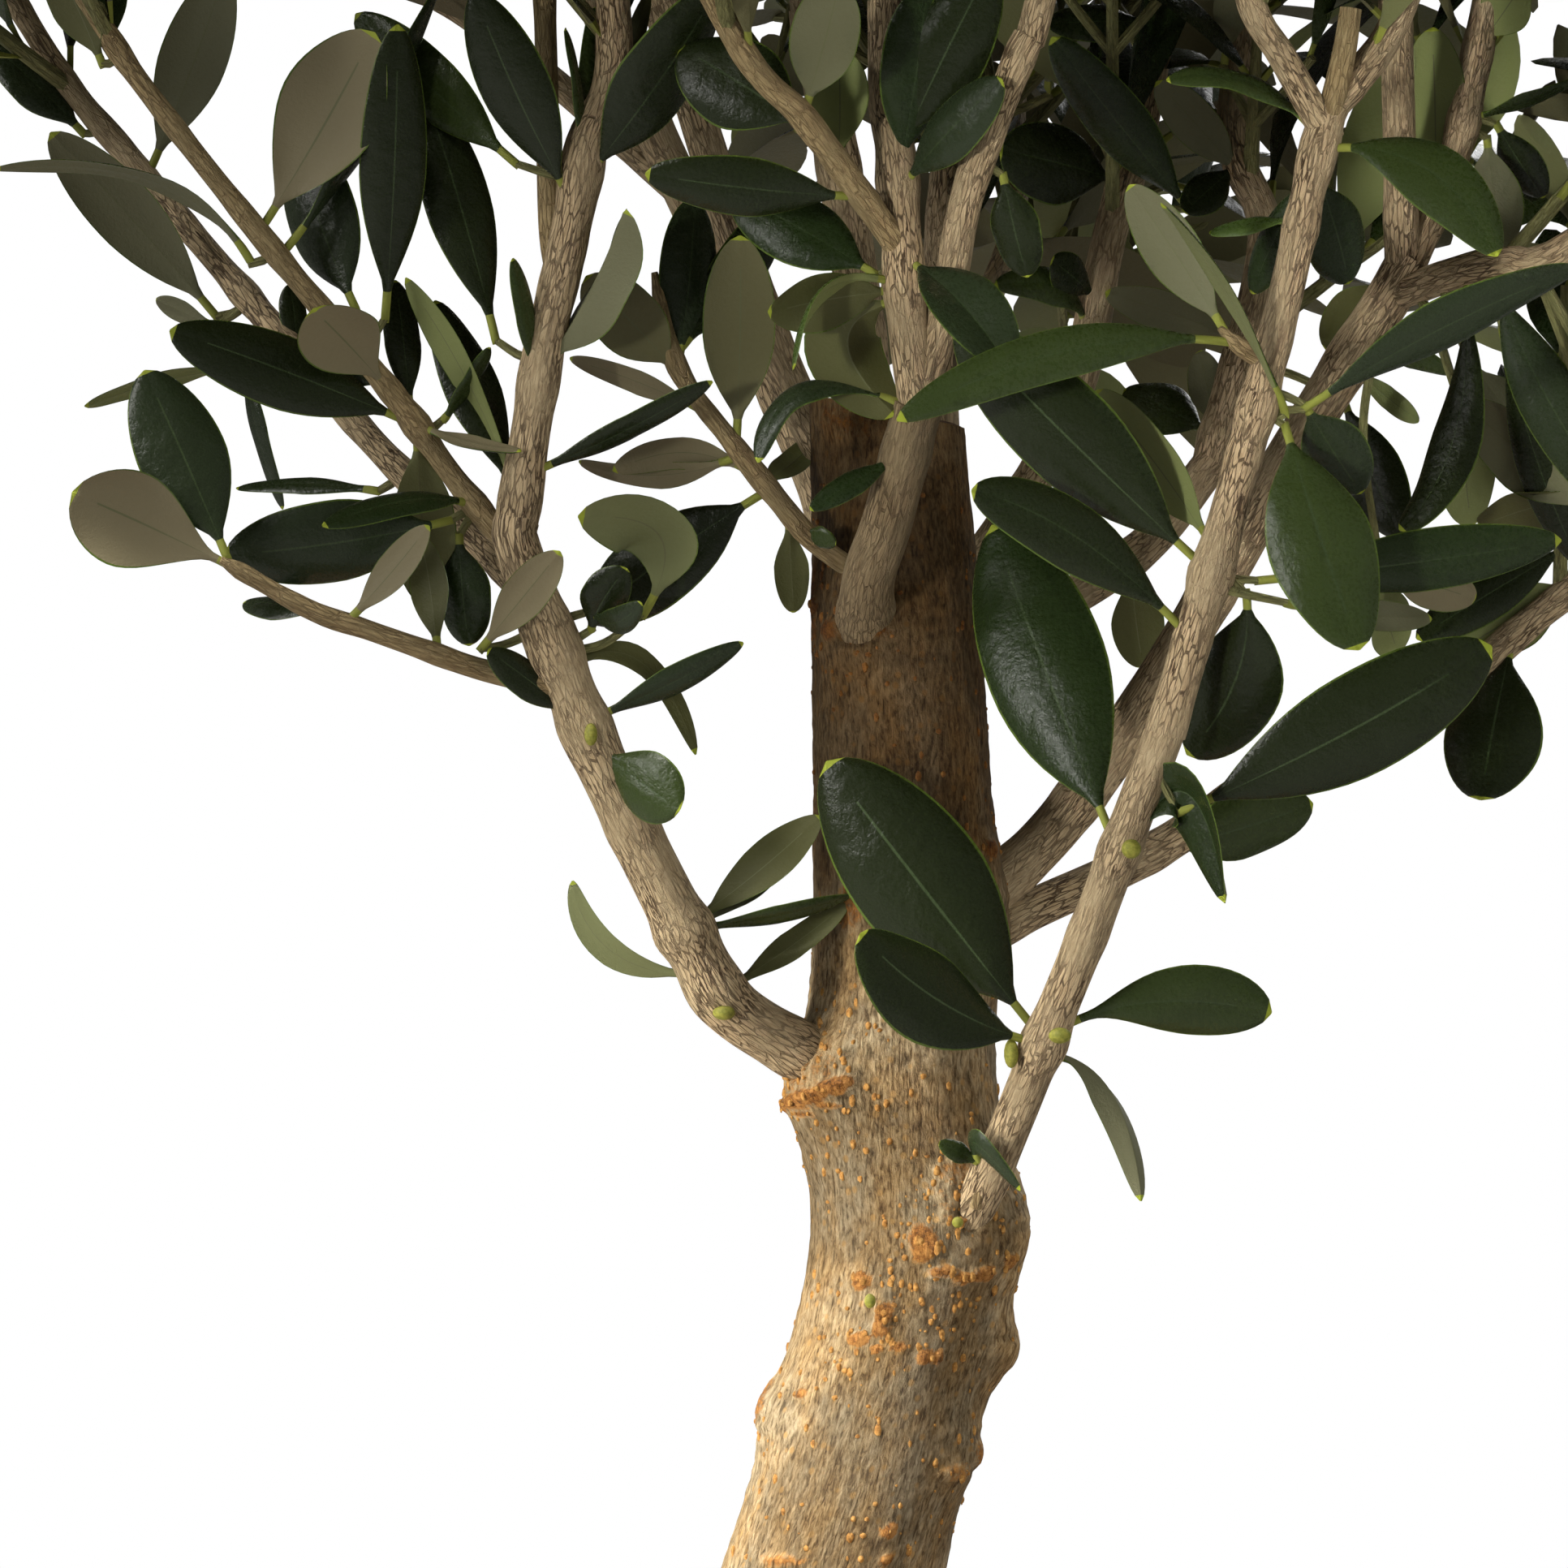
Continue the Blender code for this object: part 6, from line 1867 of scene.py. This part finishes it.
def set_world():
    """White behind the plant, and a softer light from all around."""
    world = bpy.data.worlds.new("studio")
    bpy.context.scene.world = world
    world.use_nodes = True
    tree = world.node_tree
    tree.nodes.clear()
    path = tree.nodes.new("ShaderNodeLightPath")
    mix = tree.nodes.new("ShaderNodeMixShader")
    output = tree.nodes.new("ShaderNodeOutputWorld")
    tree.links.new(path.outputs["Is Camera Ray"], mix.inputs[0])
    backdrops = (((1.0, 0.97, 0.92), WORLD_STRENGTH), (WHITE, 1.0))
    for socket, (colour, strength) in enumerate(backdrops, start=1):
        backdrop = tree.nodes.new("ShaderNodeBackground")
        backdrop.inputs["Color"].default_value = (*colour, 1.0)
        backdrop.inputs["Strength"].default_value = strength
        tree.links.new(backdrop.outputs[0], mix.inputs[socket])
    tree.links.new(mix.outputs[0], output.inputs["Surface"])


def add_light(name, lamp):
    light = bpy.data.lights.new(name, "AREA")
    light.size = lamp.size
    light.energy = lamp.power
    light.color = lamp.colour
    light.spread = math.radians(lamp.spread)
    item = bpy.data.objects.new(name, light)
    item.visible_camera = False
    item.visible_glossy = lamp.glossy
    item.location = lamp.place
    item.rotation_euler = (Vector(lamp.aim) - Vector(lamp.place)).to_track_quat("-Z", "Y").to_euler()
    bpy.context.scene.collection.objects.link(item)


def add_camera():
    """Level, in front, at the photograph's distance and angle."""
    camera = bpy.data.cameras.new("camera")
    camera.sensor_width = SENSOR_WIDTH
    camera.lens = SENSOR_WIDTH * CAMERA_DISTANCE / (PICTURE_SIDE * METRES_PER_PIXEL)
    camera.clip_end = 20.0
    item = bpy.data.objects.new("camera", camera)
    item.location = (CAMERA_X, -CAMERA_DISTANCE, CAMERA_Z)
    item.rotation_euler = (math.radians(90), 0.0, 0.0)
    bpy.context.scene.collection.objects.link(item)
    bpy.context.scene.camera = item


def add_floor():
    ring = level_ring(FLOOR_RADIUS, 0.0, FLOOR_SIDES)
    floor = add_object("studio_floor", ring, [end_face(0, FLOOR_SIDES)], [floor_finish()])


def set_studio():
    set_world()
    for name, lamp in LAMPS.items():
        add_light(name, lamp)
    add_camera()
    add_floor()
    bpy.context.scene.view_settings.view_transform = "Standard"
    bpy.context.scene.view_settings.look = "None"


def build():
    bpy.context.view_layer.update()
    barks = {name: limb_bark(name, *tones) for name, tones in LIMB_BARKS.items()}
    lines = limb_lines()
    make_pot(clay())
    make_soil([earth(name, *tones) for name, tones in SOILS.items()])
    make_trunk(trunk_bark(), cut_wood())
    make_lenticels(cork())
    make_buds(fresh_cut())
    stem_barks = [barks["bough_bark"], barks["stem_bark"], barks["twig_bark"]]
    make_foliage(lines, stem_barks, leaf_finishes())
    for number, name in enumerate(BOUGHS):
        # the front bough takes the darker copy of the bark: painted shade
        bark = barks["front_bough_bark_shaded" if name == "bough_front" else "bough_bark"]
        make_bough(name, lines[name], bark, random.Random(SEED + number))
    set_studio()


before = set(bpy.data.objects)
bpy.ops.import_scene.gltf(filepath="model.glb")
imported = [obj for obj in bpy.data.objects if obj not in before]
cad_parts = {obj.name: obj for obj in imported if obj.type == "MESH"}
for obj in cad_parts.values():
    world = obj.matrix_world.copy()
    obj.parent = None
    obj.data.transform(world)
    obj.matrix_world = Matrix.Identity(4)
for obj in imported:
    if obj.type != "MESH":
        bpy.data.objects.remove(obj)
build()
